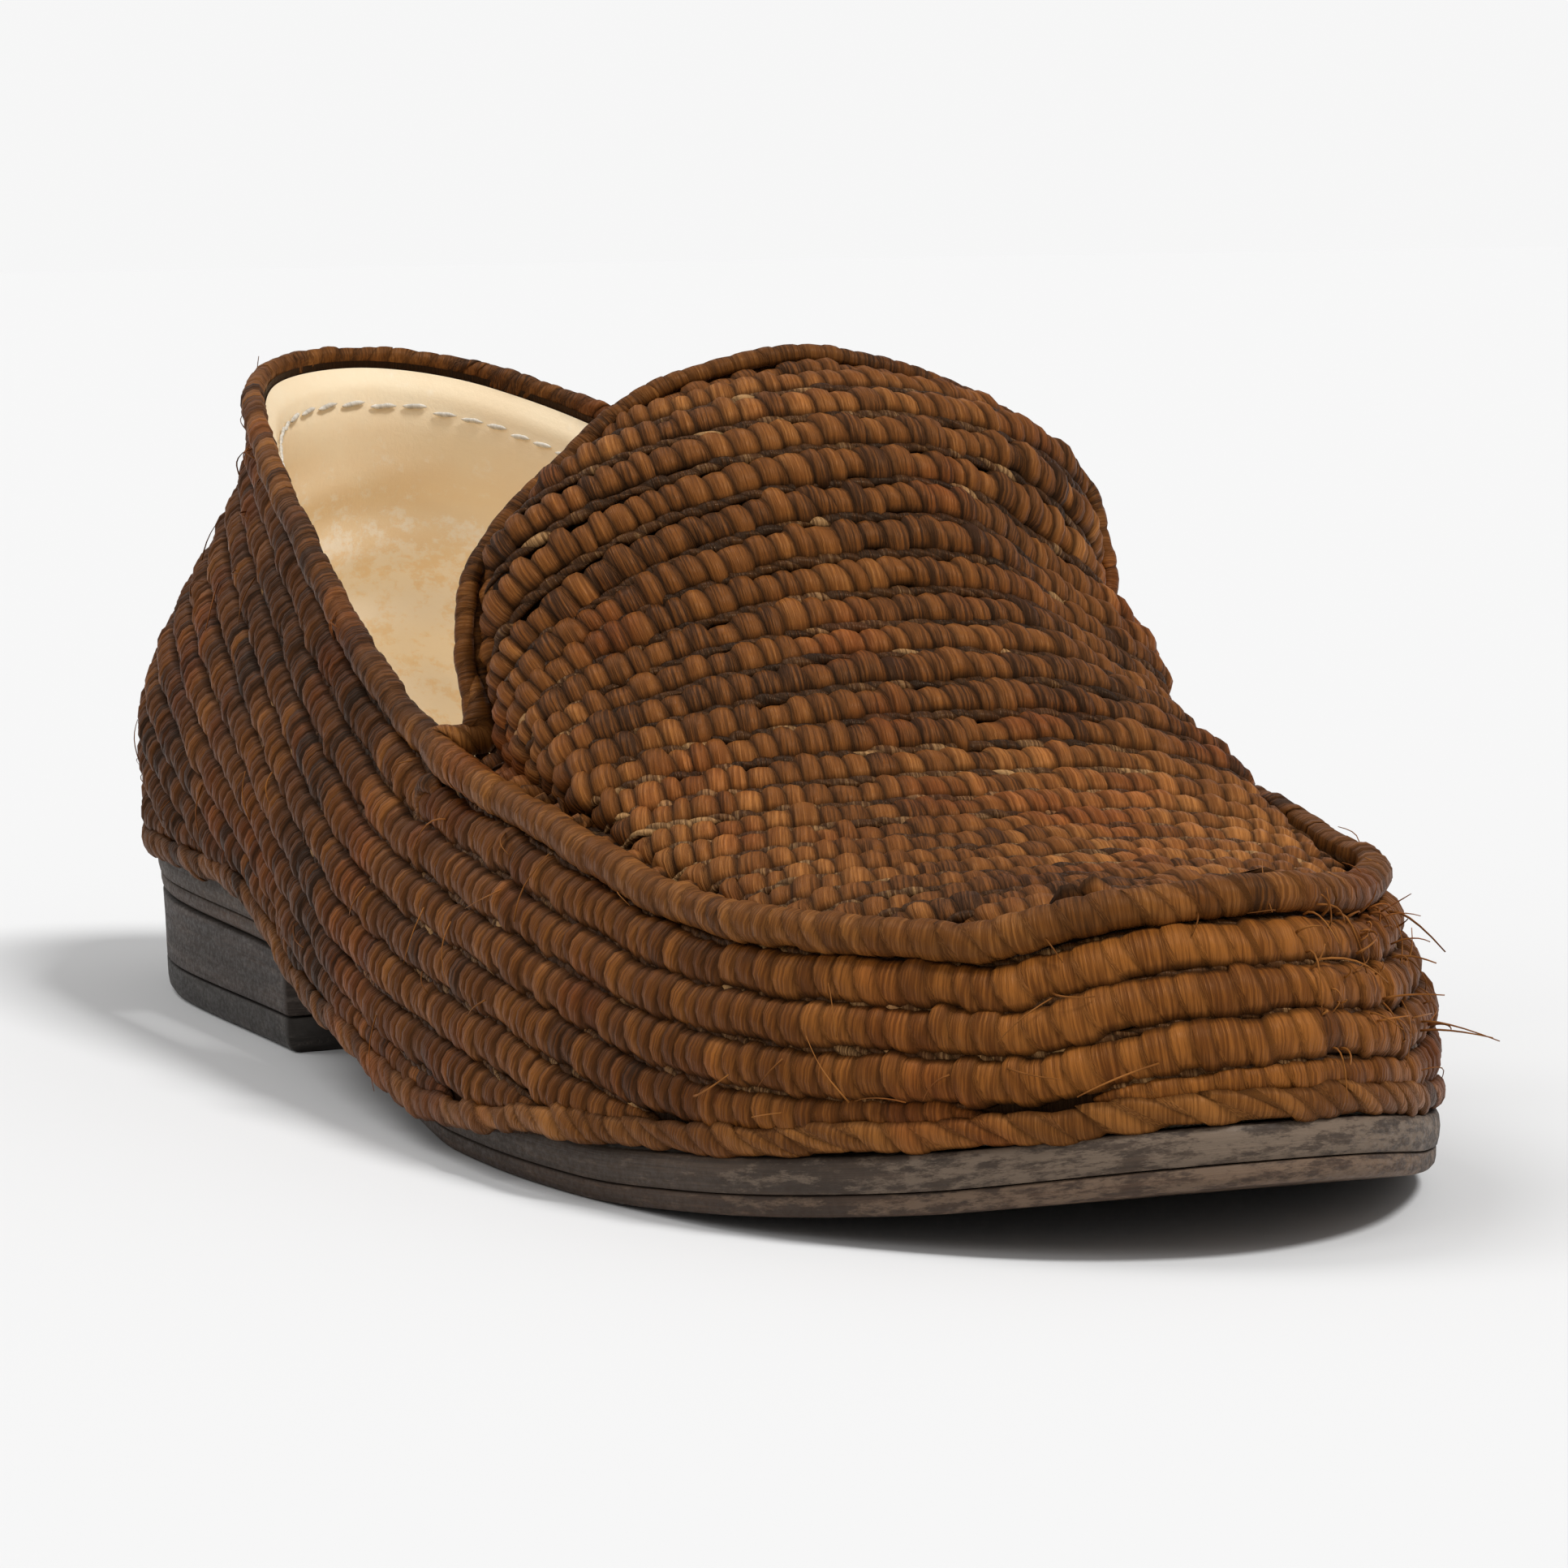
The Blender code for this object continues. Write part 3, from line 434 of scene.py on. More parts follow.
def wrappedCord(store, path, outward, spec, closed=False, tone=None, scale=None, tones=None, calm=None):
    tone = spec["tone"] if tone is None else tone
    distances = pathLengths(path)
    total = distances[-1]
    count = max(3, int(round(total / spec["wrap"])))
    widths = rng.uniform(*wrapHabit["widths"], count)
    starts = np.concatenate([[0], np.cumsum(widths)]) * total / widths.sum()
    along = (starts[:-1, None] + phases * np.diff(starts)[:, None]).ravel()
    wrapOf = np.repeat(np.arange(count), len(phases))
    dip = np.tile(phaseDips, count)
    if not closed:
        along, wrapOf, dip = np.append(along, total), np.append(wrapOf, count - 1), np.append(dip, 1)
    if calm is not None:
        dip = dip * (1 - np.interp(along, distances, calm))
    centre = alongPath(path, distances, along)
    run = np.gradient(path, axis=0)
    if closed:
        run[[0, -1]] = path[1] - path[-2]
    tangent = unit(alongPath(run, distances, along))
    normal = alongPath(outward, distances, along)
    normal = unit(normal - (normal * tangent).sum(1)[:, None] * tangent)
    across = np.cross(tangent, normal)
    centre = centre + across * unevenness(along, total, spec["wander"])[:, None]
    centre = centre + normal * unevenness(along, total, spec["wander"])[:, None]
    size = np.clip(1 + spec["jitter"] * rng.normal(size=count), *wrapHabit["sizes"])[wrapOf]
    shade = wrapHabit["shade"] + tone + wrapHabit["shadeSpread"] * rng.normal(size=count)
    if tones is not None:
        shade = shade + np.interp(starts[:-1], distances, tones)
    shade = np.clip(shade, 0, 1)
    # painted glints: a few wraps take the light colour, as bright specks
    shade[rng.random(count) < spec["glintFleck"]] = wrapHabit["glintFleckShade"]
    lean = (spec["slant"] * (1 + wrapHabit["slantSpread"] * rng.normal(size=count)))[wrapOf]
    side = (spec["jitter"] * spec["halfWidth"] * rng.normal(size=count))[wrapOf]
    side = side * (1 - wrapHabit["creaseHold"] * dip)
    if scale is not None:
        size = size * np.interp(along, distances, scale)
    if not closed:
        toEnd = np.clip(np.minimum(along, total - along) / spec["endTaper"], 0, 1)
        size = size * (wrapHabit["endSize"] + (1 - wrapHabit["endSize"]) * toEnd ** wrapHabit["endPower"])
    sine, cosine = np.sin(sectionAngles), np.cos(sectionAngles)
    cosine = np.where(cosine < 0, wrapHabit["flatBack"] * cosine, cosine)      # flat against the wall
    wide = spec["halfWidth"] * size * (1 - spec["gap"] * dip)
    tall = spec["halfHeight"] * size * (1 - spec["crease"] * dip)
    points = centre[:, None] + across[:, None] * (wide[:, None] * sine + side[:, None])[..., None]
    points = points + normal[:, None] * (tall[:, None] * cosine - spec["sink"])[..., None]
    shift = lean[:, None] * spec["halfWidth"] * sine + spec["curl"] * (cosine - 1)
    points = points + tangent[:, None] * shift[..., None]
    lay = np.empty(points.shape)
    lay[..., 0] = along[:, None] + shift
    lay[..., 1] = spec["halfWidth"] * layAngles
    lay[..., 2] = wrapHabit["layStep"] * wrapOf[:, None]
    # painted shade: each wrap is darker at its crease and along the valleys at its sides
    valley = softStep(np.abs(sine), *wrapHabit["valley"])
    crease = np.maximum(spec["creaseShade"] * dip[:, None], spec["valleyShade"] * valley)
    addGrid(store, points, lay, shade[wrapOf][:, None], crease, ringA=closed, ringB=True, capEnds=not closed)


def fibre(store, points, radius, tone, tipSize=0.45, reference=(0.31, 0.2, 0.93), laySpan=40):
    run = unit(np.gradient(points, axis=0))
    side = unit(np.cross(run, reference))
    other = np.cross(run, side)
    thin = radius * np.linspace(1, tipSize, len(points))
    ring = np.stack([side, other, -side, -other], 1) * thin[:, None, None]
    tube = points[:, None] + ring
    lay = np.zeros(tube.shape)
    lay[..., 1] = pathLengths(points)[:, None]
    lay[..., 2] = laySpan * rng.random()
    addGrid(store, tube, lay, tone, 0.0, ringB=True, capEnds=True)


# materials
def newMaterial(name):
    material = bpy.data.materials.new(name)
    material.use_nodes = True
    return material, material.node_tree, material.node_tree.nodes["Principled BSDF"]


def addNode(tree, kind, **values):
    node = tree.nodes.new(kind)
    for key, value in values.items():
        setattr(node, key, value)
    return node


def feed(tree, socket, value):
    if isinstance(value, (int, float)):
        socket.default_value = value
    elif isinstance(value, tuple):
        socket.default_value = (*value, 1)
    else:
        tree.links.new(value, socket)


def mathNode(tree, operation, a, b, clamp=False):
    node = addNode(tree, "ShaderNodeMath", operation=operation, use_clamp=clamp)
    feed(tree, node.inputs[0], a)
    feed(tree, node.inputs[1], b)
    return node.outputs[0]


def times(tree, a, b, clamp=False):
    return mathNode(tree, "MULTIPLY", a, b, clamp)


def plus(tree, a, b):
    return mathNode(tree, "ADD", a, b)


def mixColour(tree, factor, a, b, blend="MIX"):
    node = addNode(tree, "ShaderNodeMix", data_type="RGBA", blend_type=blend)
    feed(tree, node.inputs[0], factor)
    feed(tree, node.inputs[6], a)
    feed(tree, node.inputs[7], b)
    return node.outputs[2]


def noiseNode(tree, vector, scale, detail=3.0, roughness=0.55):
    node = addNode(tree, "ShaderNodeTexNoise")
    node.inputs["Scale"].default_value = scale
    node.inputs["Detail"].default_value = detail
    node.inputs["Roughness"].default_value = roughness
    tree.links.new(vector, node.inputs["Vector"])
    return node.outputs["Fac"]


def rangeNode(tree, factor, fromLow, fromHigh, toLow=0.0, toHigh=1.0):
    node = addNode(tree, "ShaderNodeMapRange", interpolation_type="SMOOTHSTEP")
    for socket, value in zip(node.inputs, (factor, fromLow, fromHigh, toLow, toHigh)):
        feed(tree, socket, value)
    return node.outputs["Result"]


# noise drawn out along the lay of the strand or the layer
def layNoise(tree, lay, stretch, detail, roughness):
    node = addNode(tree, "ShaderNodeVectorMath", operation="MULTIPLY")
    tree.links.new(lay, node.inputs[0])
    node.inputs[1].default_value = stretch
    return noiseNode(tree, node.outputs[0], 1.0, detail, roughness)


def attributeNode(tree, name, output="Fac"):
    return addNode(tree, "ShaderNodeAttribute", attribute_name=name).outputs[output]


def newGroup(name, inputs, outputs):
    group = bpy.data.node_groups.new(name, "ShaderNodeTree")
    for label, value in inputs.items():
        kind = "NodeSocketColor" if isinstance(value, tuple) else "NodeSocketFloat"
        socket = group.interface.new_socket(name=label, in_out="INPUT", socket_type=kind)
        socket.default_value = (*value, 1) if isinstance(value, tuple) else value
    for label in outputs:
        kind = "NodeSocketColor" if label == "Color" else "NodeSocketFloat"
        group.interface.new_socket(name=label, in_out="OUTPUT", socket_type=kind)
    return group, addNode(group, "NodeGroupInput").outputs, addNode(group, "NodeGroupOutput").inputs


def groupMaterial(name, group, values, look):
    material, tree, shader = newMaterial(name)
    placed = addNode(tree, "ShaderNodeGroup", node_tree=group)
    for label, value in values.items():
        feed(tree, placed.inputs[label], value)
    relief = addNode(tree, "ShaderNodeBump")
    relief.inputs["Strength"].default_value = look["bump"]
    relief.inputs["Distance"].default_value = look["bumpDepth"]
    tree.links.new(placed.outputs["Color"], shader.inputs["Base Color"])
    tree.links.new(placed.outputs["Roughness"], shader.inputs["Roughness"])
    tree.links.new(placed.outputs["Height"], relief.inputs["Height"])
    tree.links.new(relief.outputs["Normal"], shader.inputs["Normal"])
    shader.inputs["Specular IOR Level"].default_value = look["specular"]
    shader.inputs["Specular Tint"].default_value = (*look["tint"], 1)
    return material


# raffia: streaks that run round each wrap, a tone for each wrap, reddish patches and painted shade in the
# crevices
# a noise has its stretch or scale, detail and roughness; edges are where a soft step starts and ends
raffiaLook = {
    "fineStreaks": ((3.4, 0.16, 0.9), 3.0, 0.6), "broadStreaks": ((0.9, 0.1, 0.9), 1.0, 0.55),
    "patches": (55.0, 2.0), "drift": (24.0, 1.0), "streakEdges": (0.33, 0.67), "driftEdges": (0.35, 0.65),
    "middleEdges": (0.15, 0.55), "lightEdges": (0.5, 1.0), "patchEdges": (0.5, 0.7),
    "toneShare": 0.5, "streakShare": 0.3, "broadShare": 0.2, "driftShare": 0.12,
    "redTint": (1.0, 0.55, 0.45), "paintedCreviceShade": (0.01, 0.0045, 0.002), "streakRough": (0.18, -0.04),
    "creviceRough": 0.35, "broadHeight": 0.6, "bump": 0.6, "bumpDepth": 0.0005, "specular": 0.17,
    "tint": (1.0, 0.7, 0.45),
}
raffiaGroup, entry, result = newGroup(
    "raffiaFibres",
    {"Dark": (0.03, 0.012, 0.004), "Middle": (0.12, 0.042, 0.009), "Light": (0.3, 0.12, 0.03),
     "Red Patches": 0.4, "Shadow": 0.85, "Dullness": 0.4},
    ("Color", "Roughness", "Height"),
)
tree = raffiaGroup
lay = attributeNode(tree, "lay", "Vector")
crease = attributeNode(tree, "crease")
place = addNode(tree, "ShaderNodeTexCoord").outputs["Object"]
fine = layNoise(tree, lay, *raffiaLook["fineStreaks"])
broad = layNoise(tree, lay, *raffiaLook["broadStreaks"])
patch = noiseNode(tree, place, *raffiaLook["patches"])
drift = noiseNode(tree, place, *raffiaLook["drift"])
streak = rangeNode(tree, fine, *raffiaLook["streakEdges"])
value = mathNode(tree, "MULTIPLY_ADD", attributeNode(tree, "tone"), raffiaLook["toneShare"])
tree.links.new(times(tree, streak, raffiaLook["streakShare"]), value.node.inputs[2])
value = plus(tree, value, times(tree, broad, raffiaLook["broadShare"]))
driftShare = raffiaLook["driftShare"]
value = plus(tree, value, rangeNode(tree, drift, *raffiaLook["driftEdges"], -driftShare, driftShare))
lower = rangeNode(tree, value, *raffiaLook["middleEdges"])
lower = mixColour(tree, lower, entry["Dark"], entry["Middle"])
body = mixColour(tree, rangeNode(tree, value, *raffiaLook["lightEdges"]), lower, entry["Light"])
redMask = times(tree, rangeNode(tree, patch, *raffiaLook["patchEdges"]), entry["Red Patches"])
body = mixColour(tree, redMask, body, raffiaLook["redTint"], "MULTIPLY")
# painted shade: the crease mask darkens the colour toward the crevice colour
shadow = times(tree, crease, entry["Shadow"], True)
body = mixColour(tree, shadow, body, raffiaLook["paintedCreviceShade"])
tree.links.new(body, result["Color"])
rough = plus(tree, entry["Dullness"], rangeNode(tree, streak, 0.0, 1.0, *raffiaLook["streakRough"]))
rough = plus(tree, rough, times(tree, shadow, raffiaLook["creviceRough"]))
tree.links.new(rough, result["Roughness"])
height = plus(tree, fine, times(tree, broad, raffiaLook["broadHeight"]))
tree.links.new(height, result["Height"])

raffiaTones = {
    # copies of the raffia: the vamp's is painted lighter, as painted light on the top of the shoe, and the
    # side's a little darker, as painted shade
    "sideRaffia": {"Dark": (0.023, 0.0078, 0.0022), "Middle": (0.115, 0.0345, 0.0056),
                   "Light": (0.3, 0.104, 0.019)},
    "litVampRaffia": {"Dark": (0.036, 0.0125, 0.0038), "Middle": (0.182, 0.059, 0.011),
                   "Light": (0.43, 0.165, 0.038)},
    "cordRaffia": {"Dark": (0.03, 0.0105, 0.003), "Middle": (0.13, 0.043, 0.008),
                   "Light": (0.31, 0.118, 0.026)},
    # the binding copy is darker, as painted shade in the valleys between rows; its light colour is for the
    # painted glints
    "shadedBindRaffia": {"Dark": (0.016, 0.006, 0.002), "Middle": (0.06, 0.021, 0.005),
                   "Light": (0.42, 0.23, 0.09), "Dullness": 0.3},
    # the backing's copy is dark, as painted shade behind the rows
    "shadedInnerRaffia": {"Dark": (0.01, 0.004, 0.0015), "Middle": (0.04, 0.015, 0.0045),
                    "Light": (0.1, 0.04, 0.012)},
}
raffia = {name: groupMaterial(name, raffiaGroup, values, raffiaLook) for name, values in raffiaTones.items()}
print("raffia materials: %d" % len(raffia))


def raffiaPiece(name, store, kind):
    return buildPiece(name, store, raffia[kind], "upper")


# columns of the wall that have room for a row, as runs round the ring; a whole ring is one closed run
def ringRuns(inside, shortest=12):
    if inside.all():
        return [(np.arange(ringSteps), True)]
    if not inside.any():
        return []
    start = int(np.argmin(inside[:-1]))
    order = (np.arange(ringSteps - 1) + start) % (ringSteps - 1)
    breaks = np.flatnonzero(np.diff(inside[order].astype(int))) + 1
    return [(run, False) for run in np.split(order, breaks) if inside[run[0]] and len(run) > shortest]


# rows of wrapped cord that run round the side, parallel to the collar; the lowest are squeezed by the sole
sideRows = dict(
    plainCord, wrap=2.5, halfWidth=2.34, halfHeight=1.9, sink=0.65, crease=0.24, creaseShade=0.8,
    valleyShade=0.95, slant=0.22, curl=0.8, jitter=0.06, gap=0.12, endTaper=4.0, wander=0.16, rows=16,
    strandRoom=0.8, leastRoom=0.35, squeezed=0.25, toe=(0.66, 0.93), toneSpread=0.05, tone=-0.05,
    toeTone=0.24, toeCalm=0.5)
plainBinding = dict(plainCord, crease=0.4, creaseShade=0.7, valleyShade=0.3, gap=0.2)
# the side binding is toned darker still, as painted shade in the valleys
sideBinding = dict(plainBinding, wrap=2.0, halfWidth=0.55, halfHeight=0.5, sink=0.5, slant=1.1, jitter=0.12,
                   glintFleck=0.05, tone=-0.2)
sideStores = [newStore(), newStore(), newStore()]
bindingStore = newStore()
for row in range(sideRows["rows"]):
    rowTop = form["firstRow"] + row * form["rowPitch"]
    left = wallDepth - sideRows["strandRoom"] * form["strand"] - rowTop
    room = np.clip(left / form["rowPitch"], 0, 1)
    for run, closed in ringRuns(room > sideRows["leastRoom"]):
        points, outward = wallAt(run, rowTop + form["rowPitch"] * room[run] / 2)
        atToe = softStep(np.abs(ringLine[run]), *sideRows["toe"])
        # painted light: the rows are painted lighter toward the toe, whose front catches more light
        wrappedCord(sideStores[row % 3], points, outward, sideRows, closed,
                    sideRows["toneSpread"] * rng.normal(),
                    sideRows["squeezed"] + (1 - sideRows["squeezed"]) * room[run],
                    sideRows["toeTone"] * atToe + sideRows["tone"], sideRows["toeCalm"] * atToe)
        points, outward = wallAt(run, rowTop)
        wrappedCord(bindingStore, points, outward, sideBinding, closed)
for store, name in zip(sideStores, ("side_rows_a", "side_rows_b", "side_rows_c")):
    raffiaPiece(name, store, "sideRaffia")
raffiaPiece("side_binding", bindingStore, "shadedBindRaffia")

# flat twisted strand along the foot of the wall
footStrand = dict(
    plainCord, wrap=3.4, halfWidth=1.6, halfHeight=1.15, sink=-0.35, crease=0.22, creaseShade=0.5,
    valleyShade=0.6, slant=1.3, jitter=0.09, gap=0.15, wander=0.2, tone=0.05, fromFoot=0.55)
strand = newStore()
wholeRing = np.arange(ringSteps)
points, outward = wallAt(wholeRing, wallDepth - footStrand["fromFoot"] * form["strand"])
wrappedCord(strand, points, outward, footStrand, True)
raffiaPiece("foot_strand", strand, "cordRaffia")

# collar cord, which goes on as the raised cord of the toe seam
cordSpec = dict(
    plainCord, wrap=2.6, halfWidth=1.85, halfHeight=1.85, crease=0.11, slant=0.55, curl=0.3, jitter=0.035,
    wander=0.12, tone=0.02, seamGrowth=0.08, seamOut=0.5, seamFrom=-0.02, seamFull=0.22)
cord = newStore()
points, outward = wallAt(wholeRing, 0.0)
onSeam = softStep(np.abs(ringLine), throatTurn + cordSpec["seamFrom"], throatTurn + cordSpec["seamFull"])
points = points + outward * (cordSpec["seamOut"] * onSeam)[:, None]
wrappedCord(cord, points, outward, cordSpec, True, scale=1 + cordSpec["seamGrowth"] * onSeam)

# at each side of the throat the tongue's edge turns over the collar into the seam, with a knot below it
loopSpec = dict(
    plainCord, curl=0.3, endTaper=5.0, wander=0.05, tone=0.06, onTongue=(0.84, 0.92), offTongue=(0.8, 0.6, 0),
    faces=(0.25, 0.9, 0.35), samples=40,
    overSeam=((152.5, 0.5, 2.0, 2.0), (158, 0, 2.0, 1.4), (166, 0, 1.4, 0.7), (176, 0, 0, 0)))
knotSpec = dict(loopSpec, halfWidth=1.5, halfHeight=1.4, tone=0.03, at=152.0, off=(0, 2.0, -4.2), radius=1.9,
                climb=0.35, turns=1.75, samples=24)
for side, sign in (("inner", -1), ("outer", 1)):
    mirror = np.array([1, sign, 1])
    shares = [tongueTop + sign * f * (tonguePath[-1] / 2) for f in loopSpec["onTongue"]]
    guide = [tonguePoint(np.array(shares)) + mirror * loopSpec["offTongue"]]
    for along, *step in loopSpec["overSeam"]:
        guide.append(topAt(along, side) + mirror * step)
    guide = np.vstack(guide)
    guidePath = pathLengths(guide)
    use = np.linspace(0, guidePath[-1], loopSpec["samples"])
    path = np.stack([smooth(use, guidePath, guide[:, k]) for k in range(3)], 1)
    lean = np.broadcast_to(unit(mirror * loopSpec["faces"]), path.shape)
    wrappedCord(cord, path, lean, loopSpec)
    knot = topAt(knotSpec["at"], side) + mirror * knotSpec["off"]
    angles = np.linspace(0, knotSpec["turns"] * np.pi, knotSpec["samples"])
    ball = knot + np.stack([knotSpec["radius"] * np.cos(angles), sign * knotSpec["climb"] * angles / np.pi,
                            knotSpec["radius"] * np.sin(angles)], 1)
    wrappedCord(cord, ball, np.broadcast_to((0.0, sign, 0.0), ball.shape), knotSpec)
raffiaPiece("collar_and_seam_cord", cord, "cordRaffia")

# rows across the vamp and tongue, flatter and darker toward the toe, with a binding strand between them
vampRows = dict(
    plainCord, wrap=2.35, halfWidth=2.5, halfHeight=1.9, sink=0.75, crease=0.3, creaseShade=1.0,
    valleyShade=1.0, slant=0.16, curl=0.35, jitter=0.11, gap=0.2, wander=0.14, trim=1.3, edgeTrim=3.4,
    toToe=(13, 24), toeFlat=0.2, toneSpread=0.05, tone=0.06, toeTone=0.14)
vampBinding = dict(plainBinding, wrap=2.3, halfWidth=0.8, halfHeight=0.7, sink=0.3, slant=1.0, jitter=0.14,
                   glintFleck=0.03, trim=3.0, edgeTrim=5.0)


def trimmedRow(row, trim, samples=140):
    line, outward = vampRow(row)
    if row >= throatRow:
        ends = [topAt(rowEndAlong(row, side), side) for side in ("inner", "outer")]
        line = np.vstack([ends[0], line, ends[1]])
        outward = np.vstack([outward[0], outward, outward[-1]])
    lengths = pathLengths(line)
    use = np.linspace(trim, lengths[-1] - trim, samples)
    return alongPath(line, lengths, use), unit(alongPath(outward, lengths, use))


vamp = newStore()
binding = newStore()
for row in range(1, form["vampRows"]):
    trim = vampRows["trim"] if row + 0.5 > throatRow else vampRows["edgeTrim"]
    line, outward = trimmedRow(row + 0.5, trim)
    toToe = softStep(row, *vampRows["toToe"])
    spec = dict(vampRows, halfHeight=vampRows["halfHeight"] * (1 - vampRows["toeFlat"] * toToe))
    tone = vampRows["toneSpread"] * rng.normal() + vampRows["tone"] - vampRows["toeTone"] * toToe
    wrappedCord(vamp, line, outward, spec, tone=tone)
    if row > 1:
        trim = vampBinding["trim"] if row > throatRow else vampBinding["edgeTrim"]
        line, outward = trimmedRow(float(row), trim)
        wrappedCord(binding, line, outward, vampBinding)

# double cord round the free edge of the tongue, and a row along it inside, with pinholes between
edgeSpec = dict(
    plainCord, halfWidth=1.3, halfHeight=1.3, slant=0.45, curl=0.2, endTaper=2.5, wander=0.06, tone=0.03,
    apart=0.85, inside=0.25, samples=160, endTrim=0.5, aimRows=2.5, aimPart=0.7)
rimRow = dict(vampRows, halfWidth=1.9, halfHeight=1.6, sink=0.3, gap=0.5, tone=0.02, inside=3.5, skip=9)
tongueEdge = newStore()
along = np.linspace(edgeSpec["endTrim"], tonguePath[-1] - edgeSpec["endTrim"], edgeSpec["samples"])
line = tonguePoint(along)
run = unit(np.gradient(line, axis=0))
inward = []
for distance, point in zip(along, line):
    side = "inner" if distance < tongueTop else "outer"
    share = abs(distance - tongueTop) / (tongueTop if side == "inner" else tonguePath[-1] - tongueTop)
    row = throatRow * share ** (1 / form["rowSpread"]) + edgeSpec["aimRows"]
    inward.append(vampPoint(row, side, np.array([1 - edgeSpec["aimPart"] * share]))[0] - point)
inward = np.array(inward)
inward = unit(inward - (inward * run).sum(1)[:, None] * run)
edgeOut = np.cross(inward, run)
for shift in (-1, 1):
    path = line + edgeOut * shift * edgeSpec["apart"] + inward * edgeSpec["inside"]
    wrappedCord(tongueEdge, path, edgeOut, edgeSpec)
part = slice(rimRow["skip"], edgeSpec["samples"] - rimRow["skip"])
wrappedCord(vamp, (line + inward * rimRow["inside"])[part], edgeOut[part], rimRow)
raffiaPiece("tongue_edge_cord", tongueEdge, "cordRaffia")
raffiaPiece("vamp_rows", vamp, "litVampRaffia")
raffiaPiece("vamp_binding", binding, "shadedBindRaffia")

# backing behind the rows, short of the tongue's edge so that the holes there stay open; it is dark, as
# painted shade seen through the gaps
backingSpec = {"inside": 1.0, "edge": 4.4, "seamTrim": 0.5, "columns": 240, "levels": 26, "across": 70,
               "rowStart": 1.2, "rowStop": 0.2, "rowStep": 0.5, "tone": 0.3, "shade": 0.3, "layWidth": 100}
rowPitch = ridgePath[-1] / form["vampRows"]
backing = newStore()
ringPick = np.linspace(0, ringSteps - 1, backingSpec["columns"]).astype(int)
sheet, layGrid = [], []
for level in np.linspace(0, 1, backingSpec["levels"]):
    points, outward = wallAt(ringPick, level * wallDepth[ringPick])
    sheet.append(points - backingSpec["inside"] * outward)
    layGrid.append(np.stack([ringPick * 1.0, level * wallDepth[ringPick], 0.0 * ringPick], 1))
addGrid(backing, sheet, layGrid, backingSpec["tone"], backingSpec["shade"])
sheet, layGrid = [], []
layAcross = np.linspace(0, backingSpec["layWidth"], backingSpec["across"])
lastRow = form["vampRows"] - backingSpec["rowStop"]
for row in np.arange(backingSpec["rowStart"], lastRow, backingSpec["rowStep"]):
    trim = backingSpec["edge"] if row < throatRow - 1 else backingSpec["seamTrim"]
    line, outward = trimmedRow(row, trim, backingSpec["across"])
    sheet.append(line - backingSpec["inside"] * outward)
    layGrid.append(np.stack([layAcross, row * rowPitch + 0 * layAcross, 0 * layAcross], 1))
addGrid(backing, sheet, layGrid, backingSpec["tone"], backingSpec["shade"])
raffiaPiece("backing", backing, "shadedInnerRaffia")

# leather: fibre lines along the edge of each layer, scuffs, dust and a dark line where two layers meet
leatherLook = {
    "lines": ((0.05, 0.05, 2.6), 4.0, 0.65), "grain": ((1.1, 1.1, 1.6), 4.0, 0.7),
    "blotches": ((0.06, 0.09, 0.3), 3.0, 0.6), "scuffs": ((0.22, 0.22, 0.9), 5.0, 0.75),
    "lineEdges": (0.4, 0.62), "blotchEdges": (0.35, 0.65), "blotchShare": 0.6, "scuffEdges": (0.3, 0.7),
    "scuffReach": 0.5, "wearEdges": (0.35, 0.95), "grainEdges": (0.3, 0.7), "grainRough": (-0.08, 0.2),
    "lineShare": 0.6, "edgeShare": 0.9, "edgeColour": (0.02, 0.016, 0.013),
    "grainHeight": 0.5, "bump": 0.35, "bumpDepth": 0.0003, "specular": 0.25, "tint": (1.0, 0.92, 0.85),
}
leatherGroup, entry, result = newGroup(
    "leatherLayers",
    {"Base": (0.07, 0.056, 0.047), "Deep": (0.03, 0.024, 0.02), "Worn": (0.28, 0.21, 0.16), "Wear": 0.5,
     "Lines": 1.0, "Dullness": 0.55},
    ("Color", "Roughness", "Height"),
)
tree = leatherGroup
lay = attributeNode(tree, "lay", "Vector")
lines = layNoise(tree, lay, *leatherLook["lines"])
grain = layNoise(tree, lay, *leatherLook["grain"])
blotch = layNoise(tree, lay, *leatherLook["blotches"])
scuffs = layNoise(tree, lay, *leatherLook["scuffs"])
lineMix = times(tree, rangeNode(tree, lines, *leatherLook["lineEdges"], 1.0, 0.0), entry["Lines"])
blotchMix = rangeNode(tree, blotch, *leatherLook["blotchEdges"], 0.0, leatherLook["blotchShare"])
body = mixColour(tree, blotchMix, entry["Base"], entry["Deep"])
body = mixColour(tree, times(tree, lineMix, leatherLook["lineShare"]), body, entry["Deep"])
scuffReach = leatherLook["scuffReach"]
wear = rangeNode(tree, scuffs, *leatherLook["scuffEdges"], -scuffReach, scuffReach)
wear = plus(tree, attributeNode(tree, "tone"), wear)
wear = times(tree, rangeNode(tree, wear, *leatherLook["wearEdges"]), entry["Wear"])
body = mixColour(tree, wear, body, entry["Worn"])
edge = times(tree, attributeNode(tree, "crease"), leatherLook["edgeShare"], True)
body = mixColour(tree, edge, body, leatherLook["edgeColour"])
tree.links.new(body, result["Color"])
rough = rangeNode(tree, grain, *leatherLook["grainEdges"], *leatherLook["grainRough"])
rough = plus(tree, entry["Dullness"], rough)
tree.links.new(rough, result["Roughness"])
height = times(tree, grain, leatherLook["grainHeight"])
height = plus(tree, height, times(tree, lines, entry["Lines"]))
tree.links.new(height, result["Height"])

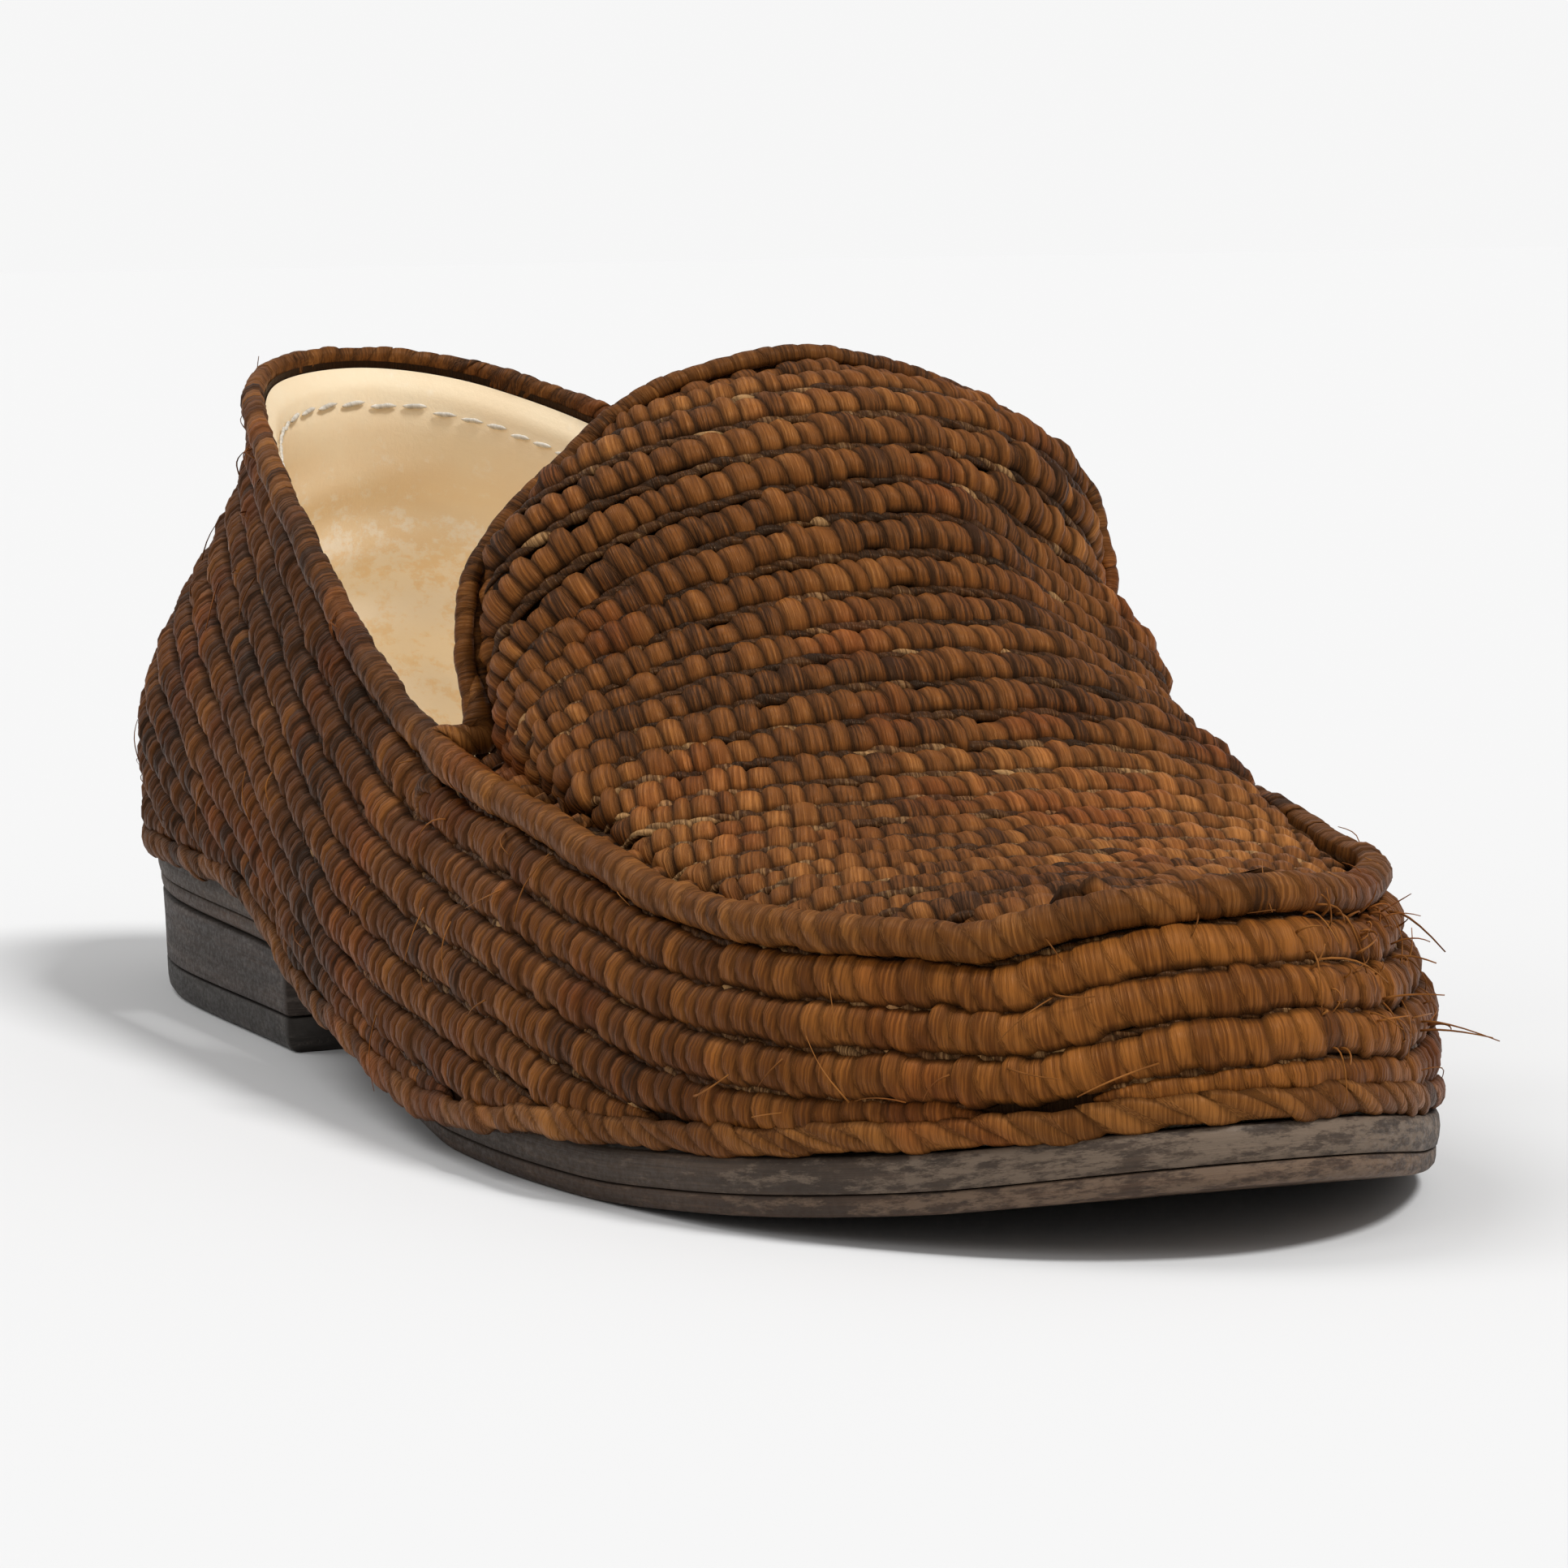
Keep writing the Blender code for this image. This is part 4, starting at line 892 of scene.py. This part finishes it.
leatherTones = {
    "midsoleLeather": {"Base": (0.08, 0.054, 0.038), "Deep": (0.036, 0.026, 0.02),
                       "Worn": (0.26, 0.19, 0.135), "Wear": 0.5},
    "outsoleLeather": {"Base": (0.082, 0.049, 0.032), "Deep": (0.036, 0.025, 0.019),
                       "Worn": (0.26, 0.17, 0.11), "Wear": 0.45},
    "stackedLeather": {"Base": (0.066, 0.048, 0.039), "Deep": (0.026, 0.02, 0.017),
                       "Worn": (0.17, 0.14, 0.12), "Wear": 0.45, "Lines": 1.0},
    "topPieceRubber": {"Base": (0.042, 0.036, 0.032), "Deep": (0.02, 0.018, 0.016),
                       "Worn": (0.13, 0.11, 0.095), "Wear": 0.4, "Lines": 0.35},
    "liningLeather": {"Base": (0.95, 0.79, 0.55), "Deep": (0.93, 0.73, 0.48), "Worn": (1.0, 0.94, 0.82),
                      "Wear": 0.8, "Lines": 0.2, "Dullness": 0.6},
}
leather = {name: groupMaterial(name, leatherGroup, values, leatherLook)
           for name, values in leatherTones.items()}
print("leather materials: %d" % len(leather))

soleAcross = 9      # points across the flat of a sole layer
hollowPower = 8     # how close to the breast the heel starts to hollow
edgeShade = 0.5     # dark line along the upper corner of a layer


# a layer of the sole: sections across it, each a ring along the bottom, up one side and back over the top
def soleLayer(store, levels, turns, wearAt, hollow=0.0, seat=None):
    share = np.linspace(0, 1, soleAcross)
    count = len(levels)
    rings, lays, wears, edges = [], [], [], []
    for turn in turns:
        sides = {}
        for side in ("inner", "outer"):
            column = np.array([solePoint(np.array([turn]), side, np.array([inset]), lift)[0]
                               for inset, lift in levels])
            if seat is not None:
                lifts = np.array([lift for inset, lift in levels])
                rise = column[:, 2] - lifts - form["topPiece"] - form["heelStack"] - 2 * form["gap"]
                column[:, 2] = lifts + rise * np.clip((lifts - seat[0]) / (seat[1] - seat[0]), 0, 1)
            sides[side] = column
        dent = np.zeros((soleAcross, 3))
        dent[:, 0] = -hollow * (1 - (2 * share - 1) ** 2) * (turn / turns[-1]) ** hollowPower
        bottom = sides["inner"][0] + (sides["outer"][0] - sides["inner"][0]) * share[:, None] + dent
        top = sides["outer"][-1] + (sides["inner"][-1] - sides["outer"][-1]) * share[:, None] + dent
        ring = np.vstack([bottom, sides["outer"][1:-1], top, sides["inner"][-2:0:-1]])
        rings.append(ring)
        low = ring[0, 2] if seat is None else 0.0
        lays.append(np.stack([ring[:, 0], ring[:, 1], ring[:, 2] - low], 1))
        edge = np.zeros(len(ring))
        edge[[soleAcross + count - 2, 2 * soleAcross + count - 3]] = edgeShade
        edges.append(edge)
        wears.append(wearAt(ring))
    addGrid(store, rings, lays, wears, edges, ringB=True)
    return rings


# levels of a layer: inset from the sole's edge, and lift above the sole's lowest face
soleParts = {
    "outsole": {"levels": [(1.5, 0.0), (0.9, 0.12), (0.55, 0.5), (0.42, 1.1), (0.4, 1.9), (0.55, 2.1)],
                "steps": 260, "leather": "outsoleLeather", "slot": "outsole_leather"},
    "midsole": {"levels": [(0.5, 2.2), (0.28, 2.28), (0.1, 3.0), (0.0, 4.0), (0.1, 5.0), (0.35, 5.5),
                           (0.8, 5.7)],
                "steps": 260, "leather": "midsoleLeather", "slot": "midsole_leather"},
    "insole": {"levels": [(4.2, 6.0), (3.9, 6.3), (3.9, 7.6), (4.3, 8.0)],
               "steps": 160, "leather": "liningLeather", "slot": "lining_leather"},
}
soleWorn = {"all": 0.12, "toe": 0.55, "toeAt": (215, 262), "heel": 0.1, "heelAt": (-40, 0)}


def soleWear(ring):
    atToe = soleWorn["toe"] * softStep(ring[:, 0], *soleWorn["toeAt"])
    return soleWorn["all"] + atToe + soleWorn["heel"] * softStep(-ring[:, 0], *soleWorn["heelAt"])


for name, part in soleParts.items():
    layer = newStore()
    soleLayer(layer, part["levels"], np.linspace(0, 1, part["steps"]), soleWear)
    buildPiece(name + "_leather", layer, leather[part["leather"]], name, weld=True)

# the heel ends at the breast, a hollowed face; its levels lift from the floor, the stack's up to the seat
heelParts = {
    "heel_stack": {"levels": [(1.05, 4.3), (0.93, 4.42), (0.88, 5.6), (0.86, 6.45), (0.95, 6.58),
                              (0.85, 6.7), (0.78, 8.6), (0.76, 8.95), (0.86, 9.07), (0.74, 9.2),
                              (0.62, 11.1), (0.72, 11.3)],
                   "leather": "stackedLeather", "slot": "stacked_leather"},
    "heel_top_piece": {"levels": [(2.3, 0.0), (1.6, 0.25), (1.15, 0.9), (1.0, 1.8), (0.92, 3.85),
                                  (1.02, 4.0)],
                       "leather": "topPieceRubber", "slot": "top_piece_rubber"},
}
heelSpec = {"seat": (4.3, 11.3), "steps": 90, "faceWear": 0.25, "faceLay": (0.2, 1, 1)}
heelWorn = {"all": 0.2, "foot": 0.35, "footAt": (-2.5, 0), "breast": 0.2, "breastAt": (84, 92)}
breastTurn = float(alongToTurn(form["breast"], 0, form["length"]))


def heelWear(ring):
    atFoot = heelWorn["foot"] * softStep(-ring[:, 2], *heelWorn["footAt"])
    return heelWorn["all"] + atFoot + heelWorn["breast"] * softStep(ring[:, 0], *heelWorn["breastAt"])


for name, part in heelParts.items():
    layer = newStore()
    turns = np.linspace(0, breastTurn, heelSpec["steps"])
    front = soleLayer(layer, part["levels"], turns, heelWear, form["breastHollow"], heelSpec["seat"])[-1]
    lastOuter = soleAcross + len(part["levels"]) - 2
    lastInner = 2 * soleAcross + len(part["levels"]) - 3
    outer = np.vstack([front[soleAcross - 1], front[soleAcross:lastOuter], front[lastOuter]])
    inner = np.vstack([front[0], front[:lastInner:-1], front[lastInner]])
    share = np.linspace(0, 1, soleAcross)[:, None]
    face = inner[:, None] + (outer - inner)[:, None] * share
    face[..., 0] -= form["breastHollow"] * (1 - (2 * share[:, 0] - 1) ** 2)
    addGrid(layer, face, face * heelSpec["faceLay"], heelSpec["faceWear"], 0.0)
    buildPiece(name + "_layers", layer, leather[part["leather"]], name, weld=True)

# heel lining with soft folds and a ragged front edge
liningSpec = {
    "columns": 150, "levels": 64, "inside": 2.8, "top": 0.9, "topInside": 1.1, "turnOver": (0.5, 3.6),
    "innerFront": 0.315, "outerFront": 0.33, "ragged": 0.0022, "folds": 0.8, "foldPitch": 0.52,
    "foldSway": 2.2, "swayPitch": 9, "foldStart": 0.7, "foldsFrom": (9, 20), "foldsTo": (-58, -40),
    "slowFold": 0.5, "slowPitch": 0.23, "slowSlant": 3.0, "slowStart": 1.0, "flatTop": (3, 8),
    "wear": 0.05, "paleBelow": 0.85, "lowFrom": (7, 34), "line": 0.55, "lineDepth": 50, "lineWidth": 0.5,
    "layRound": 200, "layDeep": 0.3,
}


def raggedEdge(count, span=5, reach=2):
    return np.convolve(rng.normal(size=count + span - 1), np.ones(span) / span, "valid") * reach


lining, spec = newStore(), liningSpec
sheet, layGrid, tones, lineMask = [], [], [], []
raggedInner = raggedEdge(spec["levels"])
raggedOuter = raggedEdge(spec["levels"])
for n, level in enumerate(np.linspace(0, 1, spec["levels"])):
    ends = (-spec["innerFront"] + spec["ragged"] * raggedInner[n],
            spec["outerFront"] + spec["ragged"] * raggedOuter[n])
    ringAt = np.linspace(*ends, spec["columns"])
    pick = np.clip(np.round((ringAt + 1) / 2 * (ringSteps - 1)).astype(int), 0, ringSteps - 1)
    depth = spec["top"] + level * (wallDepth[pick] - spec["top"])
    points, outward = wallAt(pick, depth)
    sway = spec["foldSway"] * np.sin(ringAt * spec["swayPitch"])
    fold = np.sin(depth * spec["foldPitch"] + sway + spec["foldStart"])
    fold = fold * softStep(depth, *spec["foldsFrom"]) * softStep(-depth, *spec["foldsTo"])
    slow = depth * spec["slowPitch"] - spec["slowSlant"] * ringAt + spec["slowStart"]
    fold = fold + spec["slowFold"] * np.sin(slow)
    inside = spec["topInside"]
    inside = inside + (spec["inside"] - inside) * softStep(depth, *spec["turnOver"])
    inside = inside + spec["folds"] * (0.5 + 0.5 * fold) * softStep(depth, *spec["flatTop"])
    sheet.append(points - outward * inside[:, None])
    layGrid.append(np.stack([ringAt * spec["layRound"], depth, depth * spec["layDeep"]], 1))
    # the lining's colour turns paler further down
    tones.append(spec["wear"] + spec["paleBelow"] * softStep(depth, *spec["lowFrom"]))
    fromLine = (depth - spec["lineDepth"]) / spec["lineWidth"]
    lineMask.append(spec["line"] * np.exp(-fromLine ** 2))
addGrid(lining, sheet, layGrid, tones, lineMask)
buildPiece("heel_lining", lining, leather["liningLeather"], "upper")

# white stitches below the collar
threadTones = {"Dark": (0.5, 0.45, 0.38), "Middle": (0.7, 0.65, 0.56), "Light": (0.85, 0.8, 0.72),
               "Red Patches": 0.0, "Dullness": 0.6}
stitchSpec = dict(
    plainCord, wrap=1.1, halfWidth=0.34, halfHeight=0.3, crease=0.05, creaseShade=0.2, jitter=0.05, gap=0.05,
    endTaper=0.8, wander=0.0, tone=0.1, depth=5.3, inside=0.55, length=3.1, apart=1.0, endTrim=4, slope=0.25,
    uneven=0.1, samples=5)
threadLook = dict(raffiaLook, bump=0.2, bumpDepth=0.0002)
thread = groupMaterial("liningThread", raffiaGroup, threadTones, threadLook)
stitches = newStore()
pick = np.flatnonzero((ringLine > -liningSpec["innerFront"]) & (ringLine < liningSpec["outerFront"]))
points, outward = wallAt(pick, stitchSpec["depth"])
points = points - outward * (liningSpec["inside"] + stitchSpec["inside"])
lengths = pathLengths(points)
for start in np.arange(0, lengths[-1] - stitchSpec["endTrim"], stitchSpec["length"] + stitchSpec["apart"]):
    use = np.linspace(start, start + stitchSpec["length"], stitchSpec["samples"])
    path = alongPath(points, lengths, use)
    path[:, 2] += np.linspace(-stitchSpec["slope"], stitchSpec["slope"], stitchSpec["samples"])
    path[:, 2] += stitchSpec["uneven"] * rng.normal()
    wrappedCord(stitches, path, -alongPath(outward, lengths, use), stitchSpec)
buildPiece("lining_stitches", stitches, thread, "upper")

# loose fibres: a tuft at the outer toe, and single ones that lift off the rows and the collar
tuftSpec = {"count": 46, "columns": (8, 60), "depth": (2, 16), "length": (3, 9), "bend": (2.2, 2.2, 2.8),
            "start": 1.0, "stand": 0.55, "fallBack": 0.45, "bendPer": 8, "sag": (0, 0, -0.25),
            "radius": (0.09, 0.17), "tone": (0.6, 1.0)}
straySpec = {"rows": 90, "collar": 45, "rowEdge": 2, "collarDepth": (-1, 3), "length": (3, 8),
             "collarLength": (2, 4), "start": 1.2, "bow": 0.8, "bowSpread": (0.4, 1.3), "curl": 0.3,
             "radius": (0.07, 0.14), "tone": (0.5, 1.1), "aimColumns": 6}
fibres = newStore()
fibrePoints = 7
t = np.linspace(0, 1, fibrePoints)[:, None]
for n in range(tuftSpec["count"]):
    column = int(ringSteps - 1 - rng.uniform(*tuftSpec["columns"]))
    points, outward = wallAt(np.array([column]), rng.uniform(*tuftSpec["depth"]))
    out, start = outward[0], points[0]
    length = rng.uniform(*tuftSpec["length"])
    bend = rng.normal(size=3) * tuftSpec["bend"] * (length / tuftSpec["bendPer"])
    stand = tuftSpec["start"] + length * tuftSpec["stand"] * t * (1 - tuftSpec["fallBack"] * t)
    path = start + out * stand + (bend + np.array(tuftSpec["sag"]) * length) * t ** 2
    fibre(fibres, path, rng.uniform(*tuftSpec["radius"]), rng.uniform(*tuftSpec["tone"]))
for n in range(straySpec["rows"] + straySpec["collar"]):
    atCollar = n >= straySpec["rows"]
    column = int(rng.uniform(0, ringSteps - 1))
    onRows = (straySpec["rowEdge"], wallDepth[column] - straySpec["rowEdge"])
    depth = rng.uniform(*(straySpec["collarDepth"] if atCollar else onRows))
    points, outward = wallAt(np.array([column, min(column + straySpec["aimColumns"], ringSteps - 1)]), depth)
    out, start = outward[0], points[0]
    run = unit(points[1] - points[0] + 1e-6)
    down = np.cross(run, out)
    length = rng.uniform(*straySpec["collarLength" if atCollar else "length"])
    heading = rng.uniform(0, 2 * np.pi)
    aim = run * np.cos(heading) + down * np.sin(heading)
    bow = straySpec["start"] + straySpec["bow"] * np.sin(np.pi * t) * rng.uniform(*straySpec["bowSpread"])
    curl = np.cross(aim, out) * rng.normal() * length * straySpec["curl"]
    path = start + out * bow + aim * length * t + curl * t ** 2
    fibre(fibres, path, rng.uniform(*straySpec["radius"]), rng.uniform(*straySpec["tone"]))
raffiaPiece("loose_fibres", fibres, "cordRaffia")

# camera at the photograph's place
view = {"place": (0.6037, -0.2379, 0.0922), "yaw": 157.63, "pitch": 5.251, "roll": -0.898,
        "focal": 2852.1, "width": 760.0, "sensor": 36.0, "nearest": 0.01}
yaw, pitch = math.radians(view["yaw"]), math.radians(view["pitch"])
ahead = Vector((math.cos(yaw) * math.cos(pitch), math.sin(yaw) * math.cos(pitch), -math.sin(pitch)))
cameraData = bpy.data.cameras.new("camera")
cameraData.sensor_width = view["sensor"]
cameraData.lens = view["sensor"] * view["focal"] / view["width"]
cameraData.clip_start = view["nearest"]
camera = bpy.data.objects.new("camera", cameraData)
camera.location = view["place"]
aimTurn = ahead.to_track_quat("-Z", "Y") @ Quaternion((0, 0, 1), math.radians(view["roll"]))
camera.rotation_euler = aimTurn.to_euler()
addToScene(camera)
bpy.context.scene.camera = camera

# pale floor under soft studio light
studio = {"floorReach": 30.0, "floorColour": 0.735, "sky": 0.4, "seen": 0.925}
floorMesh = bpy.data.meshes.new("floor")
reach = studio["floorReach"]
corners = [(-reach, -reach, 0), (reach, -reach, 0), (reach, reach, 0), (-reach, reach, 0)]
floorMesh.from_pydata(corners, [], [(0, 1, 2, 3)])
floor = bpy.data.objects.new("floor", floorMesh)
addToScene(floor)
material, tree, shader = newMaterial("paleFloor")
shader.inputs["Base Color"].default_value = (studio["floorColour"],) * 3 + (1,)
shader.inputs["Roughness"].default_value = 1.0
shader.inputs["Specular IOR Level"].default_value = 0.0
floorMesh.materials.append(material)

lights = {"key": ((0.7, 0.35, 1.15), 2.2, 14.0), "fill": ((0.5, -1.0, 0.9), 0.35, 30.0),
          "back": ((-0.5, -0.5, 1.2), 0.8, 30.0)}
for name, (spot, power, spread) in lights.items():
    data = bpy.data.lights.new(name, "SUN")
    data.energy = power
    data.angle = math.radians(spread)
    lamp = bpy.data.objects.new(name, data)
    lamp.location = spot
    lamp.rotation_euler = (-Vector(spot)).to_track_quat("-Z", "Y").to_euler()
    addToScene(lamp)
world = bpy.data.worlds.new("studio")
world.use_nodes = True
tree = world.node_tree
sky = tree.nodes["Background"]
sky.inputs["Strength"].default_value = studio["sky"]
sky.inputs["Color"].default_value = (1, 1, 1, 1)
seen = addNode(tree, "ShaderNodeBackground")
seen.inputs["Color"].default_value = (studio["seen"],) * 3 + (1,)
either = addNode(tree, "ShaderNodeMixShader")
tree.links.new(addNode(tree, "ShaderNodeLightPath").outputs["Is Camera Ray"], either.inputs[0])
tree.links.new(sky.outputs[0], either.inputs[1])
tree.links.new(seen.outputs[0], either.inputs[2])
tree.links.new(either.outputs[0], tree.nodes["World Output"].inputs[0])
bpy.context.scene.world = world
bpy.context.scene.view_settings.view_transform = "Standard"
print("camera and studio light set")
